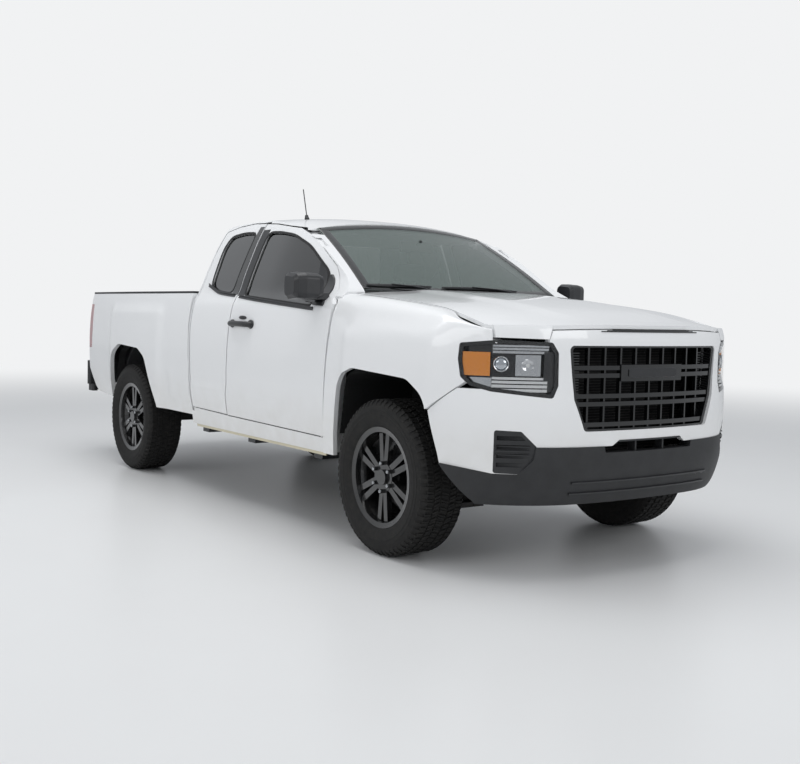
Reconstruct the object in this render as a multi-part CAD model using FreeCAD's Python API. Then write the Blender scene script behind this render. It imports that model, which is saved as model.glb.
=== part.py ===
import FreeCAD, Part
import math
import os

V = FreeCAD.Vector

# Axes: X points to the nose, Y to the left side, Z up. The origin is on the ground under the middle.
# The right side (negative Y) is modelled, and the left side is its mirror image.

# Overall layout
WHEELBASE = 3258.0
FRONT_AXLE_X = 1772.5
REAR_AXLE_X = FRONT_AXLE_X - WHEELBASE
NOSE_X = 2697.5
TAIL_X = -2697.5
TRACK_HALF = 792.5

# Wheels
TYRE_DIAMETER = 776.0
TYRE_WIDTH = 265.0
RIM_FLANGE_DIAMETER = 500.0
RIM_BARREL_DIAMETER = 440.0
RIM_WIDTH = 228.0
SPOKE_PAIRS = 6
SPOKE_WIDTH = 24.0
HUB_RADIUS = 74.0
HUB_CAP_RADIUS = 38.0
LUG_CIRCLE_DIAMETER = 139.7
LUG_RADIUS = 10.5
LUG_LENGTH = 16.0
DISC_RADIUS = 155.0
DISC_THICKNESS = 26.0
DISC_PLACE = 12.0
HUB_Z = TYRE_DIAMETER / 2.0

# Door hinge lines on the right side: a point and a direction
FRONT_HINGE_AT = (1208.0, -898.0, 532.0)
FRONT_HINGE_ALONG = (49.0, -14.0, 558.0)
REAR_HINGE_AT = (-375.0, -900.0, 532.0)
REAR_HINGE_ALONG = (0.0, 0.0, 1.0)
HINGE_PIN_RADIUS = 5.5

# Clearances
FIT_GAP = 0.3
SHUT_GAP = 6.0
LATCH_GAP = 11.0

# Body side: (height, half width) of the cab, and of the bed
CAB_SECTION = (
    (430.0, 893.0), (520.0, 904.0), (620.0, 916.0), (740.0, 925.0), (880.0, 928.0), (1020.0, 925.0),
    (1120.0, 916.0), (1200.0, 903.0), (1260.0, 884.0), (1300.0, 858.0), (1400.0, 822.0), (1500.0, 785.0),
    (1600.0, 744.0), (1680.0, 706.0), (1740.0, 668.0), (1800.0, 615.0),
)
BED_SECTION = (
    (470.0, 890.0), (560.0, 902.0), (650.0, 914.0), (760.0, 922.0), (900.0, 924.0), (1040.0, 920.0),
    (1140.0, 912.0), (1220.0, 901.0), (1270.0, 892.0), (1302.0, 882.0),
)
GREENHOUSE_TUCK = 90.0
BED_TAPER = 62.0
FLARE_RISE = 20.0
ARCH_CORNER_RADIUS = 130.0
FENDER_TOP_DROP = 6.0
CREASE_DEPTH = 6.0

# Cab
CAB_REAR_X = -449.0
BACK_THICKNESS = 10.0
ROCKER_LOW_Z = 446.0
FLOOR_Z = 500.0
FLOOR_THICKNESS = 24.0
CAB_INNER_HALF = 789.0
DOOR_LEAF = 26.0
DOOR_DEPTH = 82.0
DOOR_INSET = 15.0
FRAME_DEPTH = 36.0
GLASS_THICKNESS = 5.0
GLASS_INSET = 9.0
ROOF_THICKNESS = 26.0

# Roof, along the middle: (place along X, height)
ROOF_LINE = (
    (-450.0, 1756.0), (-330.0, 1781.0), (-150.0, 1793.0), (60.0, 1796.0), (260.0, 1788.0), (450.0, 1770.0),
    (660.0, 1738.0), (760.0, 1716.0),
)
ROOF_SIDE_DROP = 46.0

# Windshield
SHIELD_BASE_X = 1348.0
SHIELD_BASE_Z = 1302.0
SHIELD_TOP_X = 655.0
SHIELD_TOP_Z = 1734.0
SHIELD_BASE_HALF = 700.0
SHIELD_TOP_HALF = 606.0

# Hood, along the middle: (place along X, height)
HOOD_LINE = (
    (1280.0, 1326.0), (1500.0, 1314.0), (1700.0, 1298.0), (1900.0, 1280.0), (2100.0, 1258.0),
    (2300.0, 1231.0), (2450.0, 1206.0), (2580.0, 1182.0), (2680.0, 1164.0), (2740.0, 1150.0),
)
HOOD_THICKNESS = 18.0
HOOD_SIDE_DROP = 28.0
HOOD_DOME = 9.0
HOOD_PIVOT = (1345.0, 1287.0)
HOOD_BOSS_RADIUS = 8.0

# Nose, seen from above: (place along X, half width)
NOSE_PLAN = (
    (1200.0, 927.0), (1700.0, 930.0), (2060.0, 929.0), (2240.0, 920.0), (2340.0, 889.0), (2424.0, 840.0),
    (2505.0, 762.0), (2585.0, 650.0), (2640.0, 530.0), (2671.0, 400.0), (2691.0, 200.0), (NOSE_X, 0.0),
)
FASCIA_THICKNESS = 30.0
BUMPER_THICKNESS = 62.0
LAMP_DEPTH = 95.0

# Bed
BED_FRONT_X = -466.0
BED_REAR_X = -2520.0
BED_FLOOR_Z = 775.0
BED_RAIL_Z = 1298.0
BED_INNER_HALF = 734.0
WHEELHOUSE_HALF = 564.0
WHEELHOUSE_RADIUS = 455.0
BED_WALL = 26.0
BEDSIDE_SKIN = 30.0
RAIL_CAP_HEIGHT = 14.0
GATE_THICKNESS = 66.0
GATE_HALF = 690.0
GATE_SIDE_GAP = 8.0
GATE_LOW_Z = 785.0
GATE_PIN_AT = (-2485.0, 815.0)
BUMPER_WALL = 76.0

# Frame
RAIL_INNER = 350.0
RAIL_WIDTH = 72.0
RAIL_HEIGHT = 118.0
RAIL_FRONT_X = 2420.0

# Spare wheel
SPARE_RADIUS = 358.0
SPARE_WIDTH = 190.0
SPRING_HALF = 478.0
SPRING_THICKNESS = 32.0
SPRING_LINE = (
    (-2150.0, 470.0), (-1810.0, HUB_Z + 74.0), (REAR_AXLE_X, HUB_Z + 48.0), (-1160.0, HUB_Z + 74.0), (-900.0, 452.0),
)
BALL_HOLE_RADIUS = 13.1
BALL_HOLE_X = -2662.0

# Steering
ARM_REACH_Z = 150.0
LOWER_ARM_THICKNESS = 26.0
UPPER_ARM_THICKNESS = 20.0
KINGPIN_HALF = 712.0
STEERING_WHEEL_RADIUS = 185.0
STEERING_WHEEL_AT = (760.0, 385.0, 1150.0)
COLUMN_TILT_DEG = 24.0

# Side view outlines: (place along X, height)
FRONT_DOOR = (
    (106.0, 546.0), (1238.0, 532.0), (1262.0, 800.0), (1287.0, 1090.0), (1282.0, 1238.0), (1146.0, 1347.0),
    (1062.0, 1446.0), (818.0, 1599.0), (574.0, 1685.0), (302.0, 1720.0), (166.0, 1729.0), (142.0, 1226.0),
)
REAR_DOOR_REAR = ((-395.0, 558.0), (-425.0, 1080.0), (-421.0, 1290.0), (-383.0, 1560.0), (-352.0, 1700.0))
CAB_REAR = ((-419.0, ROCKER_LOW_Z), (-449.0, 1080.0), (-445.0, 1290.0), (-406.0, 1560.0), (-369.0, 1722.0))
FRONT_WINDOW = (
    (222.0, 1284.0), (1082.0, 1226.0), (1023.0, 1411.0), (771.0, 1570.0), (579.0, 1640.0), (400.0, 1664.0),
    (244.0, 1670.0),
)
REAR_WINDOW = (
    (50.0, 1296.0), (86.0, 1674.0), (-90.0, 1680.0), (-250.0, 1664.0), (-292.0, 1590.0), (-284.0, 1346.0),
    (-150.0, 1312.0),
)
FRONT_ARCH = (
    (1340.0, 300.0), (1352.0, 559.0), (1401.0, 862.0), (1559.0, 918.0), (2030.0, 892.0), (2165.0, 819.0),
    (2246.0, 525.0), (2300.0, 300.0),
)
REAR_ARCH = (
    (-1972.0, 300.0), (-1932.0, 590.0), (-1860.0, 850.0), (-1700.0, 922.0), (-1290.0, 905.0),
    (-1165.0, 845.0), (-1002.0, 524.0), (-940.0, 300.0),
)


def smooth(t):
    """Ease from 0 to 1."""
    t = max(0.0, min(1.0, t))
    return t * t * (3.0 - 2.0 * t)


def between(value, low, high, blend):
    """1 inside low to high, easing to 0 over the blend inside each end."""
    return smooth((value - low) / blend) * smooth((high - value) / blend)


def curve_value(table, place):
    """Smooth curve through (place, value) pairs."""
    last = len(table) - 1
    if place <= table[0][0]:
        return table[0][1]
    if place >= table[last][0]:
        return table[last][1]
    index = 0
    while place > table[index + 1][0]:
        index += 1

    def slope(i):
        low = max(i - 1, 0)
        high = min(i + 1, last)
        return (table[high][1] - table[low][1]) / (table[high][0] - table[low][0])

    x0, y0 = table[index]
    x1, y1 = table[index + 1]
    span = x1 - x0
    t = (place - x0) / span
    m0 = slope(index) * span
    m1 = slope(index + 1) * span
    return ((2 * t**3 - 3 * t**2 + 1) * y0 + (t**3 - 2 * t**2 + t) * m0
            + (-2 * t**3 + 3 * t**2) * y1 + (t**3 - t**2) * m1)


def steps(low, high, count):
    """Evenly spaced places from low to high."""
    return [low + (high - low) * i / (count - 1.0) for i in range(count)]


def solid(shape):
    """The shape with its faces outwards."""
    if shape.Volume < 0:
        shape.reverse()
    return shape


def outline(points, radius=0.0):
    """Closed wire through the points, each corner rounded."""
    edges = []
    count = len(points)
    starts = []
    ends = []
    for i in range(count):
        here = points[i]
        back = points[i - 1] - here
        ahead = points[(i + 1) % count] - here
        back_length = back.Length
        ahead_length = ahead.Length
        back.normalize()
        ahead.normalize()
        half = back.getAngle(ahead) / 2.0
        if radius <= 0.0 or half > math.radians(88.0):
            starts.append(here)
            ends.append(here)
            continue
        reach = min(radius / math.tan(half), 0.45 * min(back_length, ahead_length))
        starts.append(here + back * reach)
        ends.append(here + ahead * reach)
        inwards = back + ahead
        inwards.normalize()
        fillet = reach * math.tan(half)
        middle = here + inwards * (fillet / math.sin(half) - fillet)
        edges.append((i, Part.Arc(starts[i], middle, ends[i]).toShape()))
    arcs = dict(edges)
    result = []
    for i in range(count):
        if i in arcs:
            result.append(arcs[i])
        result.append(Part.LineSegment(ends[i], starts[(i + 1) % count]).toShape())
    return Part.Wire(result)


def plate_y(points, y0, y1, radius=0.0):
    """Side view outline given thickness along Y."""
    face = Part.Face(outline([V(x, y0, z) for x, z in points], radius))
    return solid(face.extrude(V(0, y1 - y0, 0)))


def plate_x(points, x0, x1, radius=0.0):
    """Front view outline given thickness along X."""
    face = Part.Face(outline([V(x0, y, z) for y, z in points], radius))
    return solid(face.extrude(V(x1 - x0, 0, 0)))


def plate_z(points, z0, z1, radius=0.0):
    """Plan outline given thickness along Z."""
    face = Part.Face(outline([V(x, y, z0) for x, y in points], radius))
    return solid(face.extrude(V(0, 0, z1 - z0)))


def grown_y(points, y0, y1, growth, radius=0.0):
    """Side view outline offset by growth, given thickness along Y."""
    wire = outline([V(x, y0, z) for x, z in points], radius)
    face = Part.Face(wire).makeOffset2D(growth)
    return solid(face.extrude(V(0, y1 - y0, 0)))


def box(x0, x1, y0, y1, z0, z1):
    return Part.makeBox(x1 - x0, y1 - y0, z1 - z0, V(x0, y0, z0))


def rod(start, end, radius):
    """Round bar between two points."""
    along = V(*end) - V(*start)
    return Part.makeCylinder(radius, along.Length, V(*start), along)


def skin(grid, direction):
    """Solid between a smooth surface through the grid and its copy moved by direction."""
    surface = Part.BSplineSurface()
    surface.interpolate(grid)
    return solid(surface.toShape().extrude(direction))


def fuse(pieces):
    """One shape from pieces that overlap or touch."""
    result = pieces[0].multiFuse(pieces[1:])
    return result.removeSplitter()


def mirrored(shape):
    return shape.mirror(V(0, 0, 0), V(0, 1, 0))


def both_sides(shape):
    return Part.makeCompound([shape, mirrored(shape)])


def cab_half(x, z):
    """Half width of the cab at a place and height."""
    tuck = GREENHOUSE_TUCK * smooth((x - 450.0) / 850.0) * smooth((z - 1230.0) / 150.0)
    low = smooth((z - 560.0) / 60.0) * smooth((crease_z(x) - z) / 34.0)
    fade = smooth((1090.0 - x) / 170.0)
    return curve_value(CAB_SECTION, z) - tuck + CREASE_DEPTH * low * fade


def crease_z(x):
    """Height of the crease low on the doors."""
    return 743.0 + (x + 443.0) * -0.047 - 66.0 * smooth((x - 760.0) / 360.0)


def bed_half(x, z):
    """Half width of the bed at a place and height."""
    back = max(0.0, (-1250.0 - x) / 1270.0)
    flare = between(x, -1985.0, -850.0, 125.0) * smooth((1236.0 - z) / 70.0)
    low = smooth((z - 560.0) / 60.0) * smooth((crease_z(x) - z) / 34.0) * smooth((x + 800.0) / 60.0)
    taper = BED_TAPER * back ** 1.7
    return curve_value(BED_SECTION, z) - taper + FLARE_RISE * flare + CREASE_DEPTH * low


def cab_skin(thickness, inset=0.0):
    """Right side of the cab, a given thickness inwards from an inset."""
    heights = [340, 380, 430, 480, 530, 590, 650, 690, 730, 790, 880, 1000, 1100, 1180, 1240, 1300, 1380, 1460,
               1560, 1640, 1700, 1750, 1800]
    grid = [[V(x, -cab_half(x, z) + inset, z) for z in heights] for x in steps(-470.0, 1330.0, 21)]
    return skin(grid, V(0, thickness, 0))


def bed_skin(thickness, inset=0.0):
    """Right side of the bed, a given thickness inwards from an inset."""
    heights = [380, 430, 480, 530, 580, 630, 680, 730, 800, 890, 980, 1060, 1120, 1165, 1205, 1245, 1285, 1325]
    grid = [[V(x, -bed_half(x, z) + inset, z) for z in heights] for x in steps(-2560.0, -440.0, 35)]
    return skin(grid, V(0, thickness, 0))


def roof_z(x, y):
    """Height of the roof."""
    drop = ROOF_SIDE_DROP * (1.0 + 0.6 * smooth((x - 300.0) / 350.0))
    return curve_value(ROOF_LINE, x) - drop * (abs(y) / 670.0) ** 2.3


def roof_skin(thickness, half):
    grid = [[V(x, y, roof_z(x, y)) for y in steps(-half, half, 17)] for x in steps(-480.0, 740.0, 14)]
    return skin(grid, V(0, 0, -thickness))


def shield_point(across, up, inset=0.0):
    """Point on the windshield: across from -1 to 1, up from 0 to 1."""
    half = SHIELD_BASE_HALF + (SHIELD_TOP_HALF - SHIELD_BASE_HALF) * up
    bow = across * across
    x = SHIELD_BASE_X + (SHIELD_TOP_X - SHIELD_BASE_X) * up - (58.0 - 42.0 * up) * bow
    z = SHIELD_BASE_Z + (SHIELD_TOP_Z - SHIELD_BASE_Z) * up + (12.0 - 58.0 * up) * bow
    bulge = 14.0 * math.sin(math.pi * up)
    return V(x + 0.54 * (bulge - inset), half * across, z + 0.84 * (bulge - inset))


def hood_z(x, y):
    """Height of the hood and of the fender tops beside it."""
    side = abs(y) / 760.0
    drop = (HOOD_SIDE_DROP + 26.0 * smooth((x - 2050.0) / 420.0)) * side ** 3.2
    dome = HOOD_DOME * smooth((470.0 - abs(y)) / 110.0) * smooth((2600.0 - x) / 300.0)
    return curve_value(HOOD_LINE, x) - drop + dome


def nose_curve():
    """Plan outline of the right half of the nose."""
    curve = Part.BSplineCurve()
    points = [V(x, -half, 0) for x, half in NOSE_PLAN]
    curve.interpolate(Points=points, InitialTangent=V(1, 0, 0), FinalTangent=V(0, 1, 0))
    return curve


def nose_points(inset, low_x, count=13):
    """Points along the nose outline from low_x round to the middle, moved inwards by inset."""
    curve = nose_curve()
    first = curve.FirstParameter
    last = curve.LastParameter
    start = first
    while curve.value(start).x < low_x:
        start += (last - first) / 400.0
    result = []
    for t in steps(start, last, count):
        along = curve.tangent(t)[0]
        inwards = V(-along.y, along.x, 0)
        result.append(curve.value(t) + inwards * inset)
    result[-1] = V(result[-1].x, 0, 0)
    return result


def nose_wire(z, inset, thickness, low_x):
    """Closed plan section of the nose wall at a height."""
    edges = []
    rows = []
    for depth in (inset, inset + thickness):
        right = nose_points(depth, low_x)
        right[0] = V(low_x, right[0].y, 0)
        left = [V(p.x, -p.y, 0) for p in reversed(right[:-1])]
        rows.append([V(p.x, p.y, z) for p in right + left])
    for row in rows:
        curve = Part.BSplineCurve()
        curve.interpolate(row)
        edges.append(curve.toShape())
    edges.insert(1, Part.LineSegment(rows[0][-1], rows[1][-1]).toShape())
    edges.append(Part.LineSegment(rows[1][0], rows[0][0]).toShape())
    return Part.Wire([edges[0], edges[1], edges[2], edges[3]])


def nose_wall(levels, thickness, low_x):
    """Wall round the nose through (height, inset) levels."""
    wires = [nose_wire(z, inset, thickness, low_x) for z, inset in levels]
    return solid(Part.makeLoft(wires, True, False))


UPPER_LEVELS = ((480.0, 5.0), (640.0, 3.0), (900.0, 3.0), (1060.0, 5.0), (1110.0, 9.0), (1160.0, 23.0))
BUMPER_LEVELS = ((345.0, 62.0), (400.0, 34.0), (470.0, 14.0), (540.0, 2.0), (600.0, 0.0), (650.0, 0.0))


def diagonal_plate(points, near, far, radius=0.0):
    """Outline seen from the right front corner: (place across, height), given depth along the diagonal."""
    half = math.sqrt(0.5)

    def place(u, z, w):
        return V((u + w) * half, (u - w) * half, z)

    face = Part.Face(outline([place(u, z, near) for u, z in points], radius))
    return solid(face.extrude(place(0.0, 0.0, far) - place(0.0, 0.0, near)))


LAMP_OUTLINE = (
    (1034.0, 1072.0), (1028.0, 1000.0), (1041.0, 922.0), (1082.0, 884.0), (1180.0, 861.0), (1452.0, 834.0),
    (1473.0, 890.0), (1471.0, 1036.0), (1444.0, 1082.0), (1218.0, 1090.0),
)
BEZEL_OUTLINE = (
    (1200.0, 690.0), (1197.0, 497.0), (1318.0, 494.0), (1384.0, 560.0), (1388.0, 618.0), (1320.0, 686.0),
)
GRILLE_OUTLINE = (
    (-497.0, 1070.0), (-472.0, 827.0), (-414.0, 684.0), (414.0, 684.0), (472.0, 827.0), (497.0, 1070.0),
)
BUMPER_TOP = (
    (-960.0, 527.0), (-905.0, 522.0), (-786.0, 495.0), (-696.0, 494.0), (-641.0, 561.0), (-634.0, 616.0),
    (-246.0, 614.0), (-206.0, 640.0), (206.0, 640.0), (246.0, 614.0), (634.0, 616.0), (641.0, 561.0),
    (696.0, 494.0), (786.0, 495.0), (905.0, 522.0), (960.0, 527.0),
)


def lamp_cut(growth):
    """Space of the right headlamp."""
    points = grown_points(LAMP_OUTLINE, growth)
    return diagonal_plate(points, 1700.0, 2700.0, 14.0)


def grown_points(points, growth):
    """Outline moved outwards from its middle."""
    count = float(len(points))
    mid_a = sum(p[0] for p in points) / count
    mid_b = sum(p[1] for p in points) / count
    result = []
    for a, b in points:
        reach = math.hypot(a - mid_a, b - mid_b)
        scale = (reach + growth) / reach
        result.append((mid_a + (a - mid_a) * scale, mid_b + (b - mid_b) * scale))
    return result


def rear_door_points():
    """Side view outline of the rear access door, from the front door's rear edge."""
    low = (FRONT_DOOR[0][0] - LATCH_GAP, FRONT_DOOR[0][1] + 2.0)
    belt = (FRONT_DOOR[-1][0] - LATCH_GAP, FRONT_DOOR[-1][1])
    top = (FRONT_DOOR[-2][0] - 2.0 * LATCH_GAP, FRONT_DOOR[-2][1] + 3.0)
    crest = ((-23.0, 1739.0), (-210.0, 1727.0))
    return [low, belt, top] + list(crest) + list(reversed(REAR_DOOR_REAR))


def hinge_pin(place, direction, sill):
    """Pivot pin from inside a door's lower edge down to the sill, on the hinge line."""
    low = V(place[0], place[1], place[2])
    along = V(*direction)
    along.normalize()
    start = low + along * ((sill - low.z) / along.z)
    return Part.makeCylinder(HINGE_PIN_RADIUS, 40.0, start, along)


def door(points, window):
    """Right door: outer leaf, deeper inner box and window frame, with its window cut."""
    full = plate_y(points, -980.0, -560.0)
    leaf = cab_skin(DOOR_LEAF).common(full)
    inner_points = grown_points(points, -DOOR_INSET)
    low = box(-470.0, 1330.0, -980.0, -560.0, 400.0, 1232.0)
    deep = cab_skin(DOOR_DEPTH).common(plate_y(inner_points, -980.0, -560.0)).common(low)
    frame = cab_skin(FRAME_DEPTH).common(plate_y(inner_points, -980.0, -560.0))
    body = fuse([leaf, deep, frame])
    return body.cut(plate_y(window, -980.0, -560.0, 26.0))


def window_glass(window):
    """Curved side glass seated in its opening."""
    pane = cab_skin(GLASS_THICKNESS, GLASS_INSET)
    return pane.common(grown_y(window, -980.0, -560.0, -FIT_GAP, 26.0))


def mirror_body():
    """Black sail plate, arm and housing of the right mirror."""
    sail = ((1094.0, 1232.0), (1206.0, 1226.0), (1140.0, 1318.0), (1084.0, 1380.0), (1036.0, 1415.0))
    plate = cab_skin(12.0, -12.0).common(plate_y(sail, -980.0, -560.0, 8.0))
    arm = plate_y(((1092.0, 1258.0), (1190.0, 1256.0), (1182.0, 1296.0), (1098.0, 1300.0)), -930.0, -852.0, 8.0)
    arm = arm.cut(cab_skin(200.0, -1.0))
    stations = ((-902.0, 0.80), (-930.0, 0.96), (-1000.0, 1.0), (-1046.0, 0.92), (-1062.0, 0.70))
    wires = []
    for y, scale in stations:
        tall = 79.0 * scale
        deep = 72.0 * scale
        x = 1150.0 + (-902.0 - y) * -0.20
        mid = 1330.0
        corners = ((x - deep, mid - tall), (x + deep, mid - tall + 10.0), (x + deep, mid + tall - 12.0),
                   (x - deep, mid + tall))
        wires.append(outline([V(a, y, b) for a, b in corners], 34.0 * scale))
    housing = solid(Part.makeLoft(wires, True, True))
    return fuse([plate, arm, housing])


def shield_edge(count):
    """Side view of the windshield's side edge: (place along X, height)."""
    points = [shield_point(-1.0, up) for up in steps(0.0, 1.0, count)]
    return [(p.x, p.z) for p in points]


def door_spaces():
    """Space of the two right doors with their shut gaps."""
    return fuse([
        grown_y(FRONT_DOOR, -990.0, -550.0, SHUT_GAP),
        grown_y(rear_door_points(), -990.0, -550.0, SHUT_GAP),
        plate_y(((80.0, 560.0), (140.0, 560.0), (200.0, 1742.0), (110.0, 1742.0)), -990.0, -550.0),
    ])


def cab_side(fender, spaces):
    """Right side frame: rocker, front post, windshield pillar and roof rail round the door openings."""
    edge = [(x, z + 3.0) for x, z in shield_edge(9)]
    behind = [(x + BACK_THICKNESS + FIT_GAP, z) for x, z in CAB_REAR[:4]]
    region = [(1262.0, ROCKER_LOW_Z), (1262.0, 520.0), (1300.0, 1120.0), (1300.0, 1306.0)]
    region += edge + [(600.0, 1600.0)] + list(reversed(behind))
    shape = cab_skin(130.0).common(plate_y(region, -980.0, -560.0))
    ahead = box(1240.0, 1400.0, -990.0, -848.0, 430.0, 1330.0)
    inside = box(-500.0, 1300.0, -CAB_INNER_HALF - FIT_GAP, -500.0, 430.0, 700.0)
    swept = box(-500.0, -380.0, -990.0, -862.0, 530.0, 1250.0)
    shape = shape.cut(spaces).cut(ahead).cut(inside).cut(swept)
    pillar = [(x, z) for x, z in edge] + [(x - 26.0, z - 60.0) for x, z in reversed(edge)]
    pillar = cab_skin(90.0, FRAME_DEPTH + 8.0).common(plate_y(pillar, -980.0, -560.0))
    rail = ((650.0, 1700.0), (640.0, 1640.0), (300.0, 1670.0), (-310.0, 1660.0), (-350.0, 1690.0), (-350.0, 1800.0),
            (600.0, 1800.0))
    rail = cab_skin(120.0, FRAME_DEPTH + 8.0).common(plate_y(rail, -980.0, -500.0))
    base = SHIELD_BASE_HALF + FIT_GAP
    side = [shield_point(-1.0, up) for up in steps(0.0, 1.0, 9)]
    glass_edge = [(-base, SHIELD_BASE_Z - 80.0)] + [(p.y - FIT_GAP, p.z) for p in side]
    glass_edge += [(side[-1].y, 1830.0), (-300.0, 1830.0), (-300.0, SHIELD_BASE_Z - 80.0)]
    glass_side = plate_x(glass_edge, 630.0, 1400.0)
    shape = fuse([shape, pillar, rail]).cut(glass_side)
    shape = shape.cut(roof_skin(ROOF_THICKNESS + FIT_GAP, 1000.0)).cut(roof_skin(-300.0, 1000.0))
    shape = fuse([shape] + side_posts())
    return biggest(shape.cut(fender))


def side_posts():
    """Inner posts of the side frame, the rocker's inner half and the weld flange below it."""
    rocker = plate_y(((-405.0, ROCKER_LOW_Z), (1236.0, ROCKER_LOW_Z), (1236.0, 520.0), (-405.0, 530.0)),
                     -842.0, -CAB_INNER_HALF - FIT_GAP)
    front = plate_y(((1150.0, ROCKER_LOW_Z), (1236.0, ROCKER_LOW_Z), (1256.0, 1010.0), (1170.0, 1010.0)),
                    -815.0, -CAB_INNER_HALF - FIT_GAP)
    upper = plate_y(((1168.0, 980.0), (1255.0, 980.0), (1262.0, 1060.0), (1262.0, 1190.0), (1190.0, 1190.0)),
                    -900.0, -742.0).common(cab_skin(40.0, DOOR_DEPTH + 8.0))
    link = plate_y(((1190.0, 1080.0), (1297.0, 1080.0), (1297.0, 1300.0), (1272.0, 1319.0), (1150.0, 1380.0),
                    (1140.0, 1330.0), (1190.0, 1240.0)), -800.0, -742.0)
    link = link.common(cab_skin(200.0, FRAME_DEPTH + 8.0))
    behind = [(x + BACK_THICKNESS + FIT_GAP, z) for x, z in CAB_REAR] + [(-356.0, 1742.0)]
    ahead = ((-310.0, 1742.0), (-310.0, 1700.0), (-336.0, 1560.0), (-376.0, 1290.0), (-380.0, 1080.0),
             (-352.0, ROCKER_LOW_Z))
    strip = behind + list(ahead)
    rear_low = cab_skin(46.0, DOOR_DEPTH + 20.0).common(plate_y(strip, -980.0, -500.0))
    rear_low = rear_low.common(box(-500.0, -300.0, -980.0, -500.0, 430.0, 1250.0))
    rear_high = cab_skin(70.0, FRAME_DEPTH + 20.0).common(plate_y(strip, -980.0, -500.0))
    rear_high = rear_high.common(box(-500.0, -300.0, -980.0, -500.0, 1236.0, 1700.0))
    rear_foot = plate_y(((-405.0, ROCKER_LOW_Z), (-352.0, ROCKER_LOW_Z), (-352.0, 520.0), (-405.0, 520.0)),
                        -842.0, -780.0)
    pinch = plate_y(((-380.0, ROCKER_LOW_Z - 18.0), (1230.0, ROCKER_LOW_Z - 18.0), (1236.0, ROCKER_LOW_Z + 4.0),
                     (-390.0, ROCKER_LOW_Z + 4.0)), -884.0, -876.0)
    return [rocker, front, upper, link, rear_low, rear_high, rear_foot, pinch]


def biggest(shape):
    """The largest solid of a shape."""
    return max(shape.Solids, key=lambda s: s.Volume)


def cab_back(roof_panel):
    """Rear panel of the cab with its window opening, thicker below the window."""
    rear = list(CAB_REAR) + [(CAB_REAR[-1][0], 1800.0)]
    thin = rear + [(x + BACK_THICKNESS, z) for x, z in reversed(rear)]
    thick = rear[:3] + [(x + 34.0, z) for x, z in reversed(rear[:3])]
    right = [(-cab_half(CAB_REAR_X, z), z) for z in steps(ROCKER_LOW_Z, 1740.0, 27)]
    left = [(-y, z) for y, z in reversed(right)]
    ends = plate_x(right + [(-600.0, 1800.0), (600.0, 1800.0)] + left, -600.0, -200.0)
    shape = plate_y(thin, -980.0, 980.0).common(ends)
    inner = plate_y(thick, -686.0, 686.0)
    low = box(-500.0, -300.0, -686.0, 686.0, 400.0, FLOOR_Z - FLOOR_THICKNESS)
    shape = fuse([shape, inner]).cut(rear_glass_space(0.0, -600.0, -200.0)).cut(low)
    return biggest(shape.cut(roof_panel).common(roof_skin(1500.0, 1000.0)))


def rear_glass_space(growth, x0, x1):
    low = 1336.0 - growth
    high = 1664.0 + growth
    wide = 586.0 + growth
    points = ((-wide, low), (wide, low), (wide - 42.0, high), (-wide + 42.0, high))
    return plate_x(points, x0, x1, 40.0)


def rear_glass():
    """Flat rear window standing in the back panel's opening."""
    pane = ((-438.0, 1320.0), (-432.0, 1320.0), (-382.0, 1680.0), (-388.0, 1680.0))
    return plate_y(pane, -700.0, 700.0).common(rear_glass_space(-FIT_GAP, -600.0, -200.0))


def roof(spaces):
    """Roof panel, from the windshield's top edge to the back panel and out to the doors."""
    front = []
    for across in steps(-1.0, 1.0, 13):
        point = shield_point(across, 1.0)
        front.append((point.x - 2.9 - FIT_GAP, point.y))
    corner = front[0][0] - 20.0
    plan = [(CAB_REAR[-1][0] + FIT_GAP, -800.0), (corner, -800.0), (front[0][0], front[0][1] - 8.0)] + front
    plan += [(front[-1][0], front[-1][1] + 8.0), (corner, 800.0), (CAB_REAR[-1][0] + FIT_GAP, 800.0)]
    slab = roof_skin(ROOF_THICKNESS, 1000.0).common(plate_z(plan, 1500.0, 1900.0))
    outside = cab_skin(-300.0)
    for cutter in (outside, spaces):
        slab = slab.cut(cutter).cut(mirrored(cutter))
    return biggest(slab)


def windshield():
    """Bowed front glass."""
    rows = []
    for across in steps(-1.0, 1.0, 11):
        rows.append([shield_point(across, up) for up in steps(0.015, 0.996, 7)])
    return skin(rows, V(-2.9, 0, -4.1))


def hood_slab(thickness):
    """Hood surface given thickness downwards, wider and longer than the hood."""
    grid = [[V(x, y, hood_z(x, y)) for y in steps(-860.0, 860.0, 25)] for x in steps(1290.0, 2730.0, 17)]
    return skin(grid, V(0, 0, -thickness))


def hood():
    """Hood panel with its turned-down front corners."""
    top = hood_slab(HOOD_THICKNESS)
    right = [(1322.0, -746.0), (1700.0, -756.0), (2100.0, -770.0), (2400.0, -784.0), (2474.0, -784.0)]
    corner = [V(x, y, 0) for x, y in right]
    rim = [p for p in nose_points(22.0, 2484.0, 9)]
    half = [(p.x, p.y) for p in corner[:-1]] + [(p.x, p.y) for p in rim if p.y < -20.0]
    left = [(x, -y) for x, y in reversed(half)]
    rear = [(1352.0, 560.0), (1378.0, 300.0), (1386.0, 0.0), (1378.0, -300.0), (1352.0, -560.0)]
    panel = top.common(plate_z(half + left + rear, 1000.0, 1400.0))
    lip = nose_wall(UPPER_LEVELS, 20.0, 2300.0)
    under = []
    for side in (-1.0, 1.0):
        region = ((side * 588.0, 1096.0), (side * 784.0, 1100.0), (side * 784.0, 1156.0), (side * 566.0, 1156.0))
        under.append(lip.common(plate_x(region, 2440.0, 2720.0)))
    for side in (-1.0, 1.0):
        start = V(HOOD_PIVOT[0], side * 665.0 - 20.0, HOOD_PIVOT[1])
        under.append(Part.makeCylinder(HOOD_BOSS_RADIUS, 40.0, start, V(0, 1, 0)))
    return fuse([panel] + under)


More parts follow.
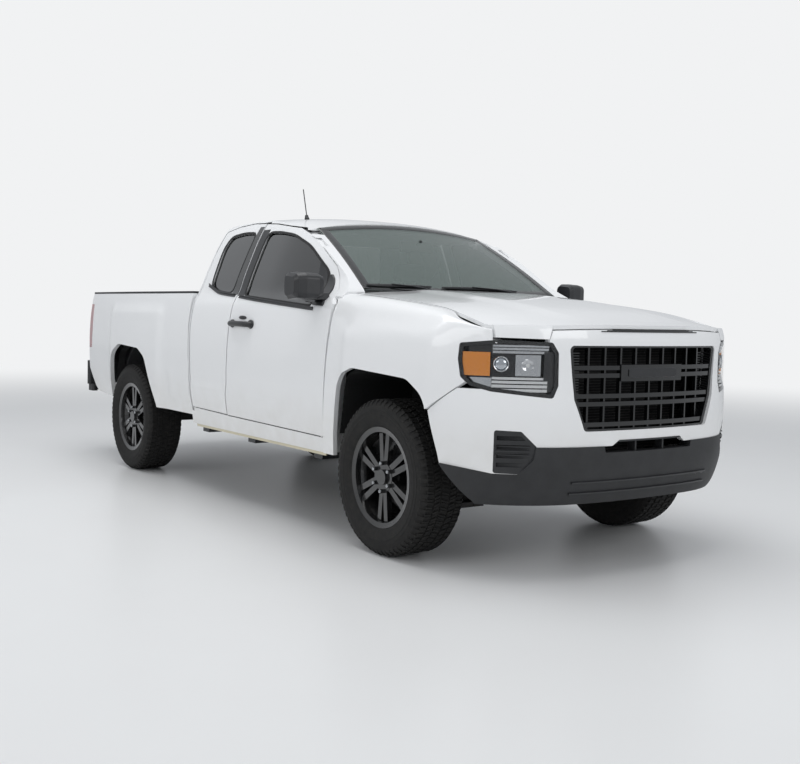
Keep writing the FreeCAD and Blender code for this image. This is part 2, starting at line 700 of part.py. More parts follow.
def fender_grid(inset):
    """Surface of the right fender, wrapping round the corner towards the nose."""
    curve = nose_curve()
    rows = []
    first = curve.FirstParameter
    last = curve.LastParameter
    for i in range(25):
        t = first + (last - first) * (0.004 + 0.60 * i / 24.0)
        here = curve.value(t)
        if here.x > 2560.0:
            break
        along = curve.tangent(t)[0]
        inwards = V(-along.y, along.x, 0)
        cut_y = -746.0 - 38.0 * smooth((here.x - 1322.0) / 1100.0)
        deep = 186.0 - 172.0 * smooth((here.x - 2060.0) / 420.0)
        top = hood_z(min(here.x, 2600.0), cut_y) - 1.0 - FENDER_TOP_DROP * smooth((here.x - 2300.0) / 200.0)
        row = []
        for z in (400.0, 520.0, 640.0, 760.0):
            tuck = 24.0 * ((760.0 - z) / 360.0) ** 1.6
            row.append(point_at(here, inwards, tuck + inset, z, here.x))
        for v in range(1, 11):
            angle = math.radians(9.0 * v)
            z = 760.0 + (top - 760.0) * math.sin(angle) ** 0.62
            tuck = deep * (1.0 - math.cos(angle) ** 0.62)
            row.append(point_at(here, inwards, tuck + inset, z, here.x))
        rows.append(row)
    return rows


def point_at(here, inwards, tuck, z, x):
    """Point of the fender surface, with the squared flare over the wheel raised."""
    flare = between(x, 1385.0, 2300.0, 120.0) * smooth((1176.0 - z) / 90.0)
    moved = here + inwards * (tuck - FLARE_RISE * flare)
    return V(moved.x, moved.y, z)


def fender():
    """Right fender with its wheel arch."""
    shape = skin(fender_grid(0.0), V(-6.0, 26.0, -17.0))
    rear = ((1247.0, 500.0), (1271.0, 800.0), (1296.0, 1090.0), (1293.0, 1240.0), (1250.0, 1300.0),
            (1250.0, 1400.0), (2600.0, 1400.0), (2600.0, 1060.0), (2374.0, 1060.0), (2374.0, 900.0),
            (2166.0, 752.0), (2166.0, 430.0), (1247.0, 430.0))
    shape = shape.common(plate_y(rear, -1000.0, -600.0))
    shape = shape.cut(plate_y(FRONT_ARCH, -1000.0, -600.0, ARCH_CORNER_RADIUS))
    shape = shape.cut(lamp_cut(0.9)).cut(hood_space())
    low = box(1200.0, 1420.0, -1000.0, -600.0, 380.0, ROCKER_LOW_Z)
    foot = box(1200.0, 1297.0 + FIT_GAP, -806.0, -600.0, 1000.0, 1400.0)
    shape = shape.cut(low).cut(foot)
    return biggest(shape)


def hood_space():
    """Plan space kept free for the hood."""
    right = [(1240.0, -750.0), (1316.0, -752.0), (1700.0, -762.0), (2100.0, -776.0), (2400.0, -790.0),
             (2478.0, -796.0), (2484.0, -1000.0), (2700.0, -1000.0)]
    left = [(x, -y) for x, y in reversed(right)]
    return plate_z(right + left, 1000.0, 1500.0)


def fascia():
    """White front fascia with the surround of the grille."""
    wall = nose_wall(UPPER_LEVELS, FASCIA_THICKNESS, 2140.0)
    side = ((2374.0 + 4.0, 896.0), (2170.0, 749.0), (2150.0, 700.0), (2150.0, 440.0), (2760.0, 440.0),
            (2760.0, 1146.0), (2380.0, 1146.0))
    shape = wall.common(plate_y(side, -1000.0, 1000.0))
    shape = shape.cut(plate_y(FRONT_ARCH, -1000.0, -600.0, ARCH_CORNER_RADIUS))
    shape = shape.cut(plate_y(FRONT_ARCH, 600.0, 1000.0, ARCH_CORNER_RADIUS))
    for cutter in (lamp_cut(0.9), diagonal_plate(BEZEL_OUTLINE, 1700.0, 2700.0, 12.0)):
        shape = shape.cut(cutter).cut(mirrored(cutter))
    beside = ((-1000.0, 1300.0), (-1000.0, 870.0), (-700.0, 870.0), (-586.0, 1000.0), (-586.0, 1092.0),
              (-563.0, 1146.0), (-563.0, 1300.0))
    upper = plate_x(beside, 2000.0, 2800.0)
    shape = shape.cut(upper).cut(mirrored(upper))
    bottom = list(BUMPER_TOP) + [(960.0, 300.0), (-960.0, 300.0)]
    shape = shape.cut(plate_x(bottom, 2000.0, 2800.0))
    shape = shape.cut(plate_x(GRILLE_OUTLINE, 2400.0, 2800.0, 22.0)).cut(hood_slab(HOOD_THICKNESS + 4.0))
    return biggest(shape)


def bumper():
    """Black lower bumper with its intake and fog lamp bezels."""
    wall = nose_wall(BUMPER_LEVELS, BUMPER_THICKNESS, 2200.0)
    bottom = [(y, z - FIT_GAP) for y, z in BUMPER_TOP] + [(960.0, 300.0), (-960.0, 300.0)]
    shape = wall.common(plate_x(bottom, 2000.0, 2800.0))
    side = ((2250.0, 640.0), (2250.0, 520.0), (2372.0, 360.0), (2380.0, 300.0), (2760.0, 300.0),
            (2760.0, 700.0), (2250.0, 700.0))
    shape = shape.common(plate_y(side, -1000.0, 1000.0))
    intake = plate_x(((-300.0, 632.0), (-290.0, 584.0), (290.0, 584.0), (300.0, 632.0)), 2400.0, 2800.0, 8.0)
    ribs = [box(2640.0, 2684.0, y - 5.0, y + 5.0, 580.0, 636.0) for y in (-93.0, 93.0)]
    shape = fuse([shape.cut(intake)] + ribs)
    wall_upper = nose_wall(UPPER_LEVELS, 40.0, 2200.0)
    bezel_space = diagonal_plate(grown_points(BEZEL_OUTLINE, -FIT_GAP), 1700.0, 2700.0, 12.0)
    bezel = wall_upper.common(bezel_space)
    slot = grown_points(BEZEL_OUTLINE, -18.0)
    for z in (535.0, 575.0, 615.0, 655.0):
        band = ((1180.0, z - 10.0), (1400.0, z - 10.0), (1400.0, z + 10.0), (1180.0, z + 10.0))
        groove = diagonal_plate(band, 2284.0, 2600.0).common(diagonal_plate(slot, 2284.0, 2600.0, 8.0))
        bezel = bezel.cut(groove)
    arms = [box(RAIL_FRONT_X + FIT_GAP, 2590.0, side * 384.0 - 34.0, side * 384.0 + 34.0, 440.0, 530.0)
            for side in (-1.0, 1.0)]
    return fuse([shape, biggest(bezel), mirrored(biggest(bezel))] + arms)


def headlamp():
    """Right headlamp unit, seated in the opening between fender, fascia and hood."""
    wall = nose_wall(UPPER_LEVELS, LAMP_DEPTH, 2200.0)
    return biggest(wall.common(lamp_cut(0.0)))


def grille_band(inset, thickness, z0, z1):
    """Band that follows the nose between two heights, as an arc in plan."""
    half = 560.0
    side_x = nose_x(half) - inset
    front = Part.Arc(V(side_x, -half, z0), V(NOSE_X - inset, 0, z0), V(side_x, half, z0)).toShape()
    back = Part.Arc(V(side_x - thickness, half, z0), V(NOSE_X - inset - thickness, 0, z0),
                    V(side_x - thickness, -half, z0)).toShape()
    ends = [Part.LineSegment(V(side_x, y, z0), V(side_x - thickness, y, z0)).toShape() for y in (half, -half)]
    wire = Part.Wire(Part.__sortEdges__([front, ends[0], back, ends[1]]))
    return solid(Part.Face(wire).extrude(V(0, 0, z1 - z0)))


def nose_x(half):
    """Place of the nose outline at a half width."""
    curve = nose_curve()
    low = curve.FirstParameter
    high = curve.LastParameter
    for step in range(40):
        mid = (low + high) / 2.0
        if -curve.value(mid).y > half:
            low = mid
        else:
            high = mid
    return curve.value(low).x


GRILLE_BARS = ((1030.0, 1050.0), (960.0, 980.0), (925.0, 945.0), (832.0, 852.0), (796.0, 816.0), (703.0, 723.0))
GRILLE_RIBS = (-372.0, -279.0, -186.0, -93.0, 0.0, 93.0, 186.0, 279.0, 372.0)


def grille():
    """Black grille: rim, horizontal bars in pairs and upright ribs on a dark back panel."""
    inner = plate_x(grown_points(GRILLE_OUTLINE, -FIT_GAP - 0.5), 2400.0, 2800.0, 22.0)
    hole = plate_x(grown_points(GRILLE_OUTLINE, -22.0), 2390.0, 2810.0, 16.0)
    pieces = [grille_band(6.0, 46.0, 600.0, 1160.0).common(inner).cut(hole)]
    pieces.append(grille_band(46.0, 8.0, 600.0, 1160.0).common(inner))
    for low, high in GRILLE_BARS:
        pieces.append(grille_band(10.0, 38.0, low, high).common(inner))
    for y in GRILLE_RIBS:
        slot = box(2500.0, 2760.0, y - 5.0, y + 5.0, 600.0, 1160.0)
        pieces.append(grille_band(28.0, 20.0, 600.0, 1160.0).common(inner).common(slot))
    plate = box(2600.0, 2760.0, -206.0, 206.0, 908.0, 984.0)
    pieces.append(grille_band(4.0, 12.0, 900.0, 1000.0).common(plate))
    return biggest(fuse(pieces))


def cowl():
    """Black cowl panel between hood and windshield, with the wiper arms' pivots."""
    rows = []
    for across in steps(-1.0, 1.0, 9):
        low = shield_point(across, 0.015)
        top = low.z - 4.1 - FIT_GAP
        rows.append([V(low.x - 16.0, low.y, top), V(low.x + 24.0, low.y, top)])
    strip = skin(rows, V(0, 0, -14.0))
    pivots = [Part.makeCylinder(13.0, 36.0, V(1352.0, y, 1262.0)) for y in (-300.0, 330.0)]
    return fuse([strip] + pivots)


def floor():
    """Cab floor with its tunnel."""
    flat = box(-386.0, 1188.0, -CAB_INNER_HALF, CAB_INNER_HALF, FLOOR_Z - FLOOR_THICKNESS, FLOOR_Z)
    tunnel = plate_x(((-150.0, FLOOR_Z - 4.0), (-110.0, FLOOR_Z + 110.0), (110.0, FLOOR_Z + 110.0),
                      (150.0, FLOOR_Z - 4.0)), 60.0, 1188.0, 20.0)
    hollow = plate_x(((-132.0, FLOOR_Z - 60.0), (-96.0, FLOOR_Z + 92.0), (96.0, FLOOR_Z + 92.0),
                      (132.0, FLOOR_Z - 60.0)), 0.0, 1200.0, 14.0)
    middle = CAB_INNER_HALF - 17.0
    sills = [box(-386.0, 1188.0, s * middle - 17.0, s * middle + 17.0, ROCKER_LOW_Z + 4.0, FLOOR_Z - 10.0)
             for s in (-1.0, 1.0)]
    corner = box(-400.0, -348.0, -900.0, -684.0, 400.0, 600.0)
    return fuse([flat, tunnel] + sills).cut(hollow).cut(corner).cut(mirrored(corner))


def bulkhead():
    """Dash bulkhead between engine bay and cab, with the box under the windshield and the hood's hinge seats."""
    wall = box(1188.3, 1212.0, -CAB_INNER_HALF, CAB_INNER_HALF, 452.0, 1070.0)
    tunnel = box(1180.0, 1220.0, -132.0, 132.0, 440.0, 600.0)
    outer = RAIL_INNER + RAIL_WIDTH + 10.0
    notch = box(1180.0, 1220.0, RAIL_INNER - 10.0, outer, 440.0, 486.0)
    wall = wall.cut(tunnel).cut(notch).cut(mirrored(notch))
    upper = box(1188.3, 1212.0, -741.0, 741.0, 1060.0, 1262.0)
    shelf = box(1200.0, HOOD_PIVOT[0] + 17.0, -735.0, 735.0, 1238.0, 1262.0)
    top = HOOD_PIVOT[1] - HOOD_BOSS_RADIUS - FIT_GAP
    seats = [box(HOOD_PIVOT[0] + 1.0, HOOD_PIVOT[0] + 15.0, side * 665.0 - 18.0, side * 665.0 + 18.0, 1255.0, top)
             for side in (-1.0, 1.0)]
    return fuse([wall, upper, shelf] + seats)


def dashboard():
    """Dashboard with instrument hood, and the console down the middle."""
    profile = ((1188.0, 900.0), (1188.0, 1278.0), (960.0, 1262.0), (905.0, 1225.0), (900.0, 1130.0),
               (960.0, 1010.0), (1010.0, 880.0))
    main = plate_y(profile, -736.0, 736.0, 22.0)
    brow = plate_y(((860.0, 1190.0), (1010.0, 1240.0), (1010.0, 1300.0), (880.0, 1296.0)), 235.0, 535.0, 16.0)
    console = plate_y(((330.0, FLOOR_Z + 112.0), (1100.0, FLOOR_Z + 112.0), (1010.0, 930.0), (960.0, 820.0),
                       (700.0, 760.0), (620.0, 840.0), (330.0, 840.0)), -118.0, 118.0, 18.0)
    start = V(*STEERING_WHEEL_AT)
    along = column_axis()
    column = Part.makeCylinder(42.0, 250.0, start + along * 62.0, along)
    return fuse([main, brow, console, column])


def column_axis():
    tilt = math.radians(COLUMN_TILT_DEG)
    return V(math.cos(tilt), 0, -math.sin(tilt))


def steering_wheel():
    """Rim, spokes, hub and the stub that runs into the column."""
    centre = V(*STEERING_WHEEL_AT)
    along = column_axis()
    section = []
    for i in range(8):
        angle = math.radians(45.0 * i + 22.5)
        section.append((STEERING_WHEEL_RADIUS + 15.0 * math.cos(angle), 15.0 * math.sin(angle)))
    rim = turned(section)
    rim.rotate(V(0, 0, 0), V(0, 0, 1), -90.0)
    rim.rotate(V(0, 0, 0), V(0, 1, 0), COLUMN_TILT_DEG)
    rim.translate(centre)
    hub = Part.makeCylinder(62.0, 34.0, centre - along * 2.0, along)
    stub = Part.makeCylinder(30.0, 30.0, centre + along * 31.5, along)
    spokes = []
    across = V(0, 1, 0)
    down = along.cross(across)
    for direction in (across, across * -1.0, down):
        end = centre + direction * (STEERING_WHEEL_RADIUS - 4.0) + along * 6.0
        spokes.append(rod(tuple(centre + along * 14.0), tuple(end), 12.0))
    return fuse([rim, hub, stub] + spokes)


def front_seat():
    """Right front seat: base, cushion, back and head rest."""
    base = plate_y(((330.0, FLOOR_Z), (720.0, FLOOR_Z), (740.0, 730.0), (310.0, 710.0)), -590.0, -200.0, 16.0)
    cushion = plate_y(((270.0, 690.0), (790.0, 720.0), (800.0, 850.0), (700.0, 868.0), (300.0, 830.0)),
                      -650.0, -140.0, 40.0)
    back = plate_y(((250.0, 800.0), (400.0, 830.0), (270.0, 1400.0), (130.0, 1400.0), (150.0, 1280.0)),
                   -640.0, -150.0, 40.0)
    head = plate_y(((160.0, 1392.0), (255.0, 1392.0), (235.0, 1545.0), (135.0, 1545.0)), -530.0, -260.0, 30.0)
    return fuse([base, cushion, back, head])


def rear_seat():
    """Right rear jump seat."""
    cushion = plate_y(((-360.0, FLOOR_Z), (-130.0, FLOOR_Z), (-60.0, 660.0), (-60.0, 790.0), (-380.0, 770.0)),
                      -680.0, -170.0, 30.0)
    back = plate_y(((-400.0, 760.0), (-300.0, 770.0), (-330.0, 1230.0), (-400.0, 1230.0)), -680.0, -170.0, 30.0)
    return fuse([cushion, back])


def bed_box():
    """Bed floor, front wall and inner side walls with the wheelhouses."""
    rear_x = -2428.0
    low = BED_FLOOR_Z - 22.0
    deck = box(rear_x, BED_FRONT_X - 6.0, -BED_INNER_HALF - BED_WALL, BED_INNER_HALF + BED_WALL, low, BED_FLOOR_Z)
    ribs = [box(rear_x, BED_FRONT_X - 30.0, y - 28.0, y + 28.0, BED_FLOOR_Z - 2.0, BED_FLOOR_Z + 9.0)
            for y in steps(-500.0, 500.0, 9)]
    front = box(BED_FRONT_X - 46.0, BED_FRONT_X - 6.0, -BED_INNER_HALF - BED_WALL, BED_INNER_HALF + BED_WALL,
                low, BED_RAIL_Z - 12.0)
    pieces = [deck, front] + ribs
    hollows = []
    for side in (-1.0, 1.0):
        inner = side * BED_INNER_HALF
        outer = side * (BED_INNER_HALF + BED_WALL)
        wall = box(rear_x, BED_FRONT_X - 6.0, min(inner, outer), max(inner, outer), low, BED_RAIL_Z - 12.0)
        pieces.append(wall)
        pieces.append(wheelhouse(side, WHEELHOUSE_RADIUS, WHEELHOUSE_HALF))
        hollows.append(wheelhouse(side, WHEELHOUSE_RADIUS - 14.0, WHEELHOUSE_HALF + 14.0))
    return fuse(pieces).cut(Part.makeCompound(hollows))


def wheelhouse(side, radius, inner):
    """Rounded hump over a rear wheel."""
    outer = BED_INNER_HALF + BED_WALL + 40.0
    start = V(REAR_AXLE_X, min(side * inner, side * outer), HUB_Z + 118.0)
    drum = Part.makeCylinder(radius, outer - inner, start, V(0, 1, 0))
    drum = drum.cut(box(-2100.0, -900.0, -900.0, 900.0, 0.0, BED_FLOOR_Z - 22.0))
    return drum.cut(box(-2100.0, -900.0, -900.0, 900.0, 1006.0, 1400.0))


def bedside():
    """Right bedside: outer skin with its wheel arch, top flange and rear post."""
    shape = bed_skin(BEDSIDE_SKIN)
    region = ((BED_FRONT_X + 34.0, 500.0), (BED_FRONT_X - 5.0, 1081.0), (BED_FRONT_X, 1277.0),
              (BED_FRONT_X - 4.0, BED_RAIL_Z), (BED_REAR_X, BED_RAIL_Z), (BED_REAR_X, 700.0),
              (BED_REAR_X + 130.0, 560.0), (BED_REAR_X + 200.0, 520.0), (-1930.0, 500.0))
    outer = shape.common(plate_y(region, -1000.0, -600.0))
    outer = outer.cut(plate_y(REAR_ARCH, -1000.0, -600.0, ARCH_CORNER_RADIUS))
    body = bed_skin(180.0)
    flange = body.common(box(BED_REAR_X, BED_FRONT_X - 6.0, -1000.0, -BED_INNER_HALF - BED_WALL - FIT_GAP,
                             BED_RAIL_Z - 34.0, BED_RAIL_Z))
    post = body.common(box(BED_REAR_X, -2434.0, -1000.0, -GATE_HALF - GATE_SIDE_GAP, 740.0, BED_RAIL_Z))
    shape = fuse([outer, flange, post])
    return biggest(shape.cut(tail_lamp_space(0.0)))


def tail_lamp_space(growth):
    """Notch of the right tail lamp in the rear corner."""
    points = ((BED_REAR_X - 60.0, 858.0 - growth), (-2448.0 + growth, 866.0 - growth),
              (-2436.0 + growth, 1000.0), (-2450.0 + growth, 1214.0 + growth), (BED_REAR_X - 60.0, 1220.0 + growth))
    return plate_y(points, -1000.0, -716.0 + growth, 12.0)


def tail_lamp():
    body = bed_skin(200.0)
    inside = body.common(box(BED_REAR_X, -2300.0, -1000.0, -500.0, 700.0, 1400.0))
    return biggest(inside.common(tail_lamp_space(-FIT_GAP)))


def rail_cap():
    """Black cap on the top of the right bedside."""
    base = BED_RAIL_Z + FIT_GAP
    outer = [V(x, -bed_half(x, BED_RAIL_Z) - 1.0, base) for x in steps(BED_REAR_X + 4.0, BED_FRONT_X - 8.0, 9)]
    edge = Part.BSplineCurve()
    edge.interpolate(outer)
    inner = [V(outer[-1].x, -BED_INNER_HALF - 2.0, base), V(outer[0].x, -BED_INNER_HALF - 2.0, base)]
    wire = Part.Wire([edge.toShape(), Part.LineSegment(outer[-1], inner[0]).toShape(),
                      Part.LineSegment(inner[0], inner[1]).toShape(),
                      Part.LineSegment(inner[1], outer[0]).toShape()])
    return solid(Part.Face(wire).extrude(V(0, 0, RAIL_CAP_HEIGHT)))


def tailgate():
    """Tailgate with a pressed panel and a latch handle recess."""
    rear = BED_REAR_X
    front = BED_REAR_X + GATE_THICKNESS
    shape = plate_y(((rear, GATE_LOW_Z), (front, GATE_LOW_Z), (front, BED_RAIL_Z + 10.0),
                     (rear - 8.0, BED_RAIL_Z + 10.0), (rear - 8.0, BED_RAIL_Z - 30.0)), -GATE_HALF, GATE_HALF)
    panel = box(rear - 20.0, rear + 8.0, -GATE_HALF + 70.0, GATE_HALF - 70.0, 850.0, 1210.0)
    handle = box(rear - 20.0, rear + 26.0, -90.0, 90.0, 1212.0, 1250.0)
    reach = GATE_HALF + GATE_SIDE_GAP - FIT_GAP
    pin = Part.makeCylinder(9.0, 2.0 * reach, V(GATE_PIN_AT[0], -reach, GATE_PIN_AT[1]), V(0, 1, 0))
    return fuse([shape.cut(panel).cut(handle), pin])


def rear_bumper():
    """Black rear bumper with corner steps, the plate recess and the hole for a tow ball."""
    plan = ((TAIL_X, -560.0), (TAIL_X + 60.0, -800.0), (TAIL_X + 125.0, -862.0), (-2560.0 + 30.0, -862.0),
            (-2530.0, 862.0), (TAIL_X + 125.0, 862.0), (TAIL_X + 60.0, 800.0), (TAIL_X, 560.0))
    top = plate_z(plan, 560.0, 752.0, 30.0)
    recess = box(TAIL_X - 10.0, TAIL_X + 70.0, -300.0, 300.0, 590.0, 700.0)
    top = top.cut(recess)
    step = plate_z(((TAIL_X + 40.0, -600.0), (TAIL_X + 90.0, -840.0), (-2500.0, -840.0), (-2500.0, -600.0)),
                   505.0, 562.0, 20.0)
    hollow = box(TAIL_X + BUMPER_WALL, -2500.0, -800.0, 800.0, 490.0, 720.0)
    steps_both = [step.cut(hollow), mirrored(step.cut(hollow))]
    ball_hole = Part.makeCylinder(BALL_HOLE_RADIUS, 60.0, V(BALL_HOLE_X, 0, 545.0))
    return fuse([top.cut(hollow)] + steps_both).cut(ball_hole)


def rail():
    """Right frame rail as a box section through its bends."""
    stations = ((RAIL_FRONT_X, 430.0), (2200.0, 430.0), (1500.0, 428.0), (1190.0, 352.0), (-820.0, 352.0),
                (-1150.0, 520.0), (-1800.0, 560.0), (-2150.0, 500.0), (TAIL_X + BUMPER_WALL + FIT_GAP, 500.0))
    lower = [(x, z) for x, z in stations]
    upper = [(x, z + RAIL_HEIGHT) for x, z in reversed(stations)]
    return plate_y(lower + upper, -RAIL_INNER - RAIL_WIDTH, -RAIL_INNER)


def rail_low_z(x):
    """Underside height of the frame rails."""
    table = ((-2480.0, 500.0), (-2150.0, 500.0), (-1800.0, 560.0), (-1150.0, 520.0), (-820.0, 352.0),
             (1190.0, 352.0), (1500.0, 428.0), (RAIL_FRONT_X, 430.0))
    for (x0, z0), (x1, z1) in zip(table, table[1:]):
        if x0 <= x <= x1:
            return z0 + (z1 - z0) * (x - x0) / (x1 - x0)
    return table[0][1]


def cross_members():
    """Cross members between the rails."""
    pieces = []
    for x, lift in ((2360.0, 20.0), (1480.0, 20.0), (300.0, 0.0), (-380.0, 0.0), (-1880.0, 20.0), (-2440.0, 20.0)):
        low = rail_low_z(x) + lift
        member = box(x - 40.0, x + 40.0, -RAIL_INNER + FIT_GAP, RAIL_INNER - FIT_GAP, low, low + 84.0)
        if lift == 0.0:
            member = member.cut(box(x - 50.0, x + 50.0, -36.0, 106.0, low + 26.0, low + 100.0))
        pieces.append(member)
    return Part.makeCompound(pieces)


def body_mounts():
    """Brackets that carry cab and bed on the rails."""
    pieces = []
    for x in (1080.0, 300.0, -340.0):
        low = rail_low_z(x)
        outer = -RAIL_INNER - RAIL_WIDTH
        pieces.append(box(x - 45.0, x + 45.0, -840.0, outer - FIT_GAP, low + 40.0, ROCKER_LOW_Z - FIT_GAP))
    for x in (-700.0, -2300.0):
        low = rail_low_z(x) + RAIL_HEIGHT
        pieces.append(box(x - 40.0, x + 40.0, -RAIL_INNER - RAIL_WIDTH, -RAIL_INNER, low + FIT_GAP,
                          BED_FLOOR_Z - 22.0 - FIT_GAP))
    return pieces


def front_suspension():
    """Right control arms, coil strut and steering rack half."""
    lower_z = HUB_Z - ARM_REACH_Z
    upper_z = HUB_Z + ARM_REACH_Z
    arms = []
    for z, reach, thick in ((lower_z, 150.0, LOWER_ARM_THICKNESS), (upper_z, 90.0, UPPER_ARM_THICKNESS)):
        inner = -RAIL_INNER - RAIL_WIDTH - FIT_GAP
        plan = ((FRONT_AXLE_X - 26.0, -KINGPIN_HALF - 20.0), (FRONT_AXLE_X + 26.0, -KINGPIN_HALF - 20.0),
                (FRONT_AXLE_X + 34.0, -600.0), (FRONT_AXLE_X + reach, -500.0), (FRONT_AXLE_X + reach, inner),
                (FRONT_AXLE_X + reach - 60.0, inner), (FRONT_AXLE_X + reach - 60.0, -500.0),
                (FRONT_AXLE_X, -560.0), (FRONT_AXLE_X - reach + 60.0, -500.0),
                (FRONT_AXLE_X - reach + 60.0, inner), (FRONT_AXLE_X - reach, inner),
                (FRONT_AXLE_X - reach, -500.0), (FRONT_AXLE_X - 34.0, -600.0))
        arms.append(plate_z(plan, z - thick / 2.0, z + thick / 2.0, 10.0))
    hanger = box(FRONT_AXLE_X - 150.0, FRONT_AXLE_X + 150.0, -RAIL_INNER - RAIL_WIDTH + 2.0, -RAIL_INNER - 10.0,
                 lower_z - 13.0, rail_low_z(FRONT_AXLE_X) - FIT_GAP)
    link = box(FRONT_AXLE_X - 150.0, FRONT_AXLE_X + 150.0, -RAIL_INNER - RAIL_WIDTH - FIT_GAP,
               -RAIL_INNER - RAIL_WIDTH + 4.0, lower_z - 13.0, lower_z + 13.0)
    strut = rod((FRONT_AXLE_X, -585.0, lower_z + 12.0), (FRONT_AXLE_X, -470.0, 815.0), 22.0)
    coil = rod((FRONT_AXLE_X, -558.0, 420.0), (FRONT_AXLE_X, -500.0, 640.0), 38.0)
    lower = fuse([arms[0], hanger, link, strut, coil])
    return lower, arms[1]


def rear_axle():
    """Rear axle tube with its differential, leaf springs and the drive shaft."""
    tube = Part.makeCylinder(42.0, 1400.0, V(REAR_AXLE_X, -700.0, HUB_Z), V(0, 1, 0))
    bulb = Part.makeSphere(150.0, V(REAR_AXLE_X, 60.0, HUB_Z))
    nose = rod((REAR_AXLE_X + 100.0, 60.0, HUB_Z), (REAR_AXLE_X + 260.0, 60.0, HUB_Z + 6.0), 52.0)
    shaft = rod((REAR_AXLE_X + 240.0, 60.0, HUB_Z + 5.0), (398.1, 20.0, 452.0), 36.0)
    pieces = [tube, bulb, nose, shaft]
    inner = TRACK_HALF - DISC_PLACE - DISC_THICKNESS - FIT_GAP
    for side in (-1.0, 1.0):
        start = V(REAR_AXLE_X, min(side * inner, side * 690.0), HUB_Z)
        pieces.append(Part.makeCylinder(66.0, inner - 690.0, start, V(0, 1, 0)))
        y = side * SPRING_HALF
        pieces.append(leaf(y, SPRING_THICKNESS))
        pieces.append(box(REAR_AXLE_X - 60.0, REAR_AXLE_X + 60.0, y - 34.0, y + 34.0, HUB_Z + 20.0, HUB_Z + 66.0))
    return fuse(pieces)


def leaf(y, thickness):
    """Bowed leaf spring pack."""
    low = [V(x, y - 32.0, z) for x, z in SPRING_LINE]
    high = [V(x, y - 32.0, z + thickness) for x, z in SPRING_LINE]
    first = Part.BSplineCurve()
    first.interpolate(low)
    second = Part.BSplineCurve()
    second.interpolate(high)
    wire = Part.Wire([first.toShape(), Part.LineSegment(low[-1], high[-1]).toShape(), second.toShape(),
                      Part.LineSegment(high[0], low[0]).toShape()])
    return solid(Part.Face(wire).extrude(V(0, 64.0, 0)))


def spring_hangers():
    """Brackets from the rails to the leaf spring ends."""
    pieces = []
    for side in (-1.0, 1.0):
        y0 = side * (RAIL_INNER + RAIL_WIDTH + FIT_GAP)
        y1 = side * 512.0
        y = side * SPRING_HALF
        for (x, z), inwards in ((SPRING_LINE[0], 1.0), (SPRING_LINE[-1], -1.0)):
            arm = box(x - 30.0, x + 30.0, min(y0, y1), max(y0, y1), 512.0, 560.0)
            near = x + inwards * 2.0
            far = x + inwards * 28.0
            foot = box(min(near, far), max(near, far), y - 30.0, y + 30.0, z + SPRING_THICKNESS - 14.0, 514.0)
            pieces.append(fuse([arm, foot.cut(leaf(y, SPRING_THICKNESS + FIT_GAP))]))
    return pieces


def engine():
    """Engine and gearbox as one plain block."""
    block = box(1240.0, 1960.0, -270.0, 270.0, 560.0, 1090.0)
    gearbox = plate_y(((400.0, 400.0), (1260.0, 385.0), (1260.0, 570.0), (900.0, 560.0), (400.0, 500.0)),
                      -90.0, 90.0, 20.0)
    sump = box(1300.0, 1420.0, -150.0, 150.0, 420.0, 570.0)
    seat_z = rail_low_z(1640.0) + RAIL_HEIGHT + FIT_GAP
    feet = [box(1560.0, 1640.0, side * 330.0 - 70.0, side * 330.0 + 70.0, seat_z, 600.0) for side in (-1.0, 1.0)]
    return fuse([block, gearbox, sump] + feet)


def exhaust():
    """Exhaust pipe and muffler along the right of the drive shaft."""
    muffler = rod((-900.0, -230.0, 380.0), (-480.0, -230.0, 380.0), 72.0)
    level = rail_low_z(300.0) - 30.0 - FIT_GAP
    front = rod((-490.0, -230.0, level), (1100.0, -230.0, level), 30.0)
    return fuse([muffler, front])


def fuel_tank():
    return plate_x(((112.0, 296.0), (RAIL_INNER - FIT_GAP, 296.0), (RAIL_INNER - FIT_GAP, 466.0), (112.0, 466.0)),
                   -330.0, 250.0, 30.0)


def spare_wheel():
    """Spare tyre lying under the bed."""
    low = rail_low_z(-2300.0) - SPARE_WIDTH - FIT_GAP
    ring = Part.makeCylinder(SPARE_RADIUS, SPARE_WIDTH, V(-2135.0, 0, low))
    return ring.cut(Part.makeCylinder(200.0, 80.0, V(-2135.0, 0, low - 10.0)))


def wheel_liner(arch, lip_half, inner_half, wall_z):
    """Arch liner that follows its wheel opening, closed on the inside above a height."""
    y0 = -lip_half
    y1 = -inner_half
    outside = grown_y(arch, y0, y1, 12.0, 60.0)
    inside = grown_y(arch, y0 - 10.0, y1 + 10.0, 7.0, 60.0)
    low = box(-3000.0, 3000.0, -1000.0, 0.0, 0.0, 560.0)
    band = outside.cut(inside).cut(low)
    wall = grown_y(arch, y1 - 5.0, y1, 12.0, 60.0)
    wall = wall.cut(box(-3000.0, 3000.0, -1000.0, 0.0, 0.0, wall_z))
    return fuse([band, wall])


def wheel_profile():
    """Closed section of the rim barrel: (radius, place along the axle from the middle)."""
    flange = RIM_FLANGE_DIAMETER / 2.0
    barrel = RIM_BARREL_DIAMETER / 2.0
    half = RIM_WIDTH / 2.0
    return ((flange, -half), (flange, -half + 9.0), (barrel + 14.0, -half + 16.0), (barrel + 10.0, -half + 44.0),
            (barrel - 4.0, -half + 62.0), (barrel - 4.0, half - 40.0), (barrel + 12.0, half - 18.0),
            (flange, half - 10.0), (flange, half), (barrel + 2.0, half - 4.0), (barrel - 14.0, half - 42.0),
            (barrel - 14.0, -half + 62.0), (barrel - 2.0, -half + 34.0), (barrel + 4.0, -half + 6.0))


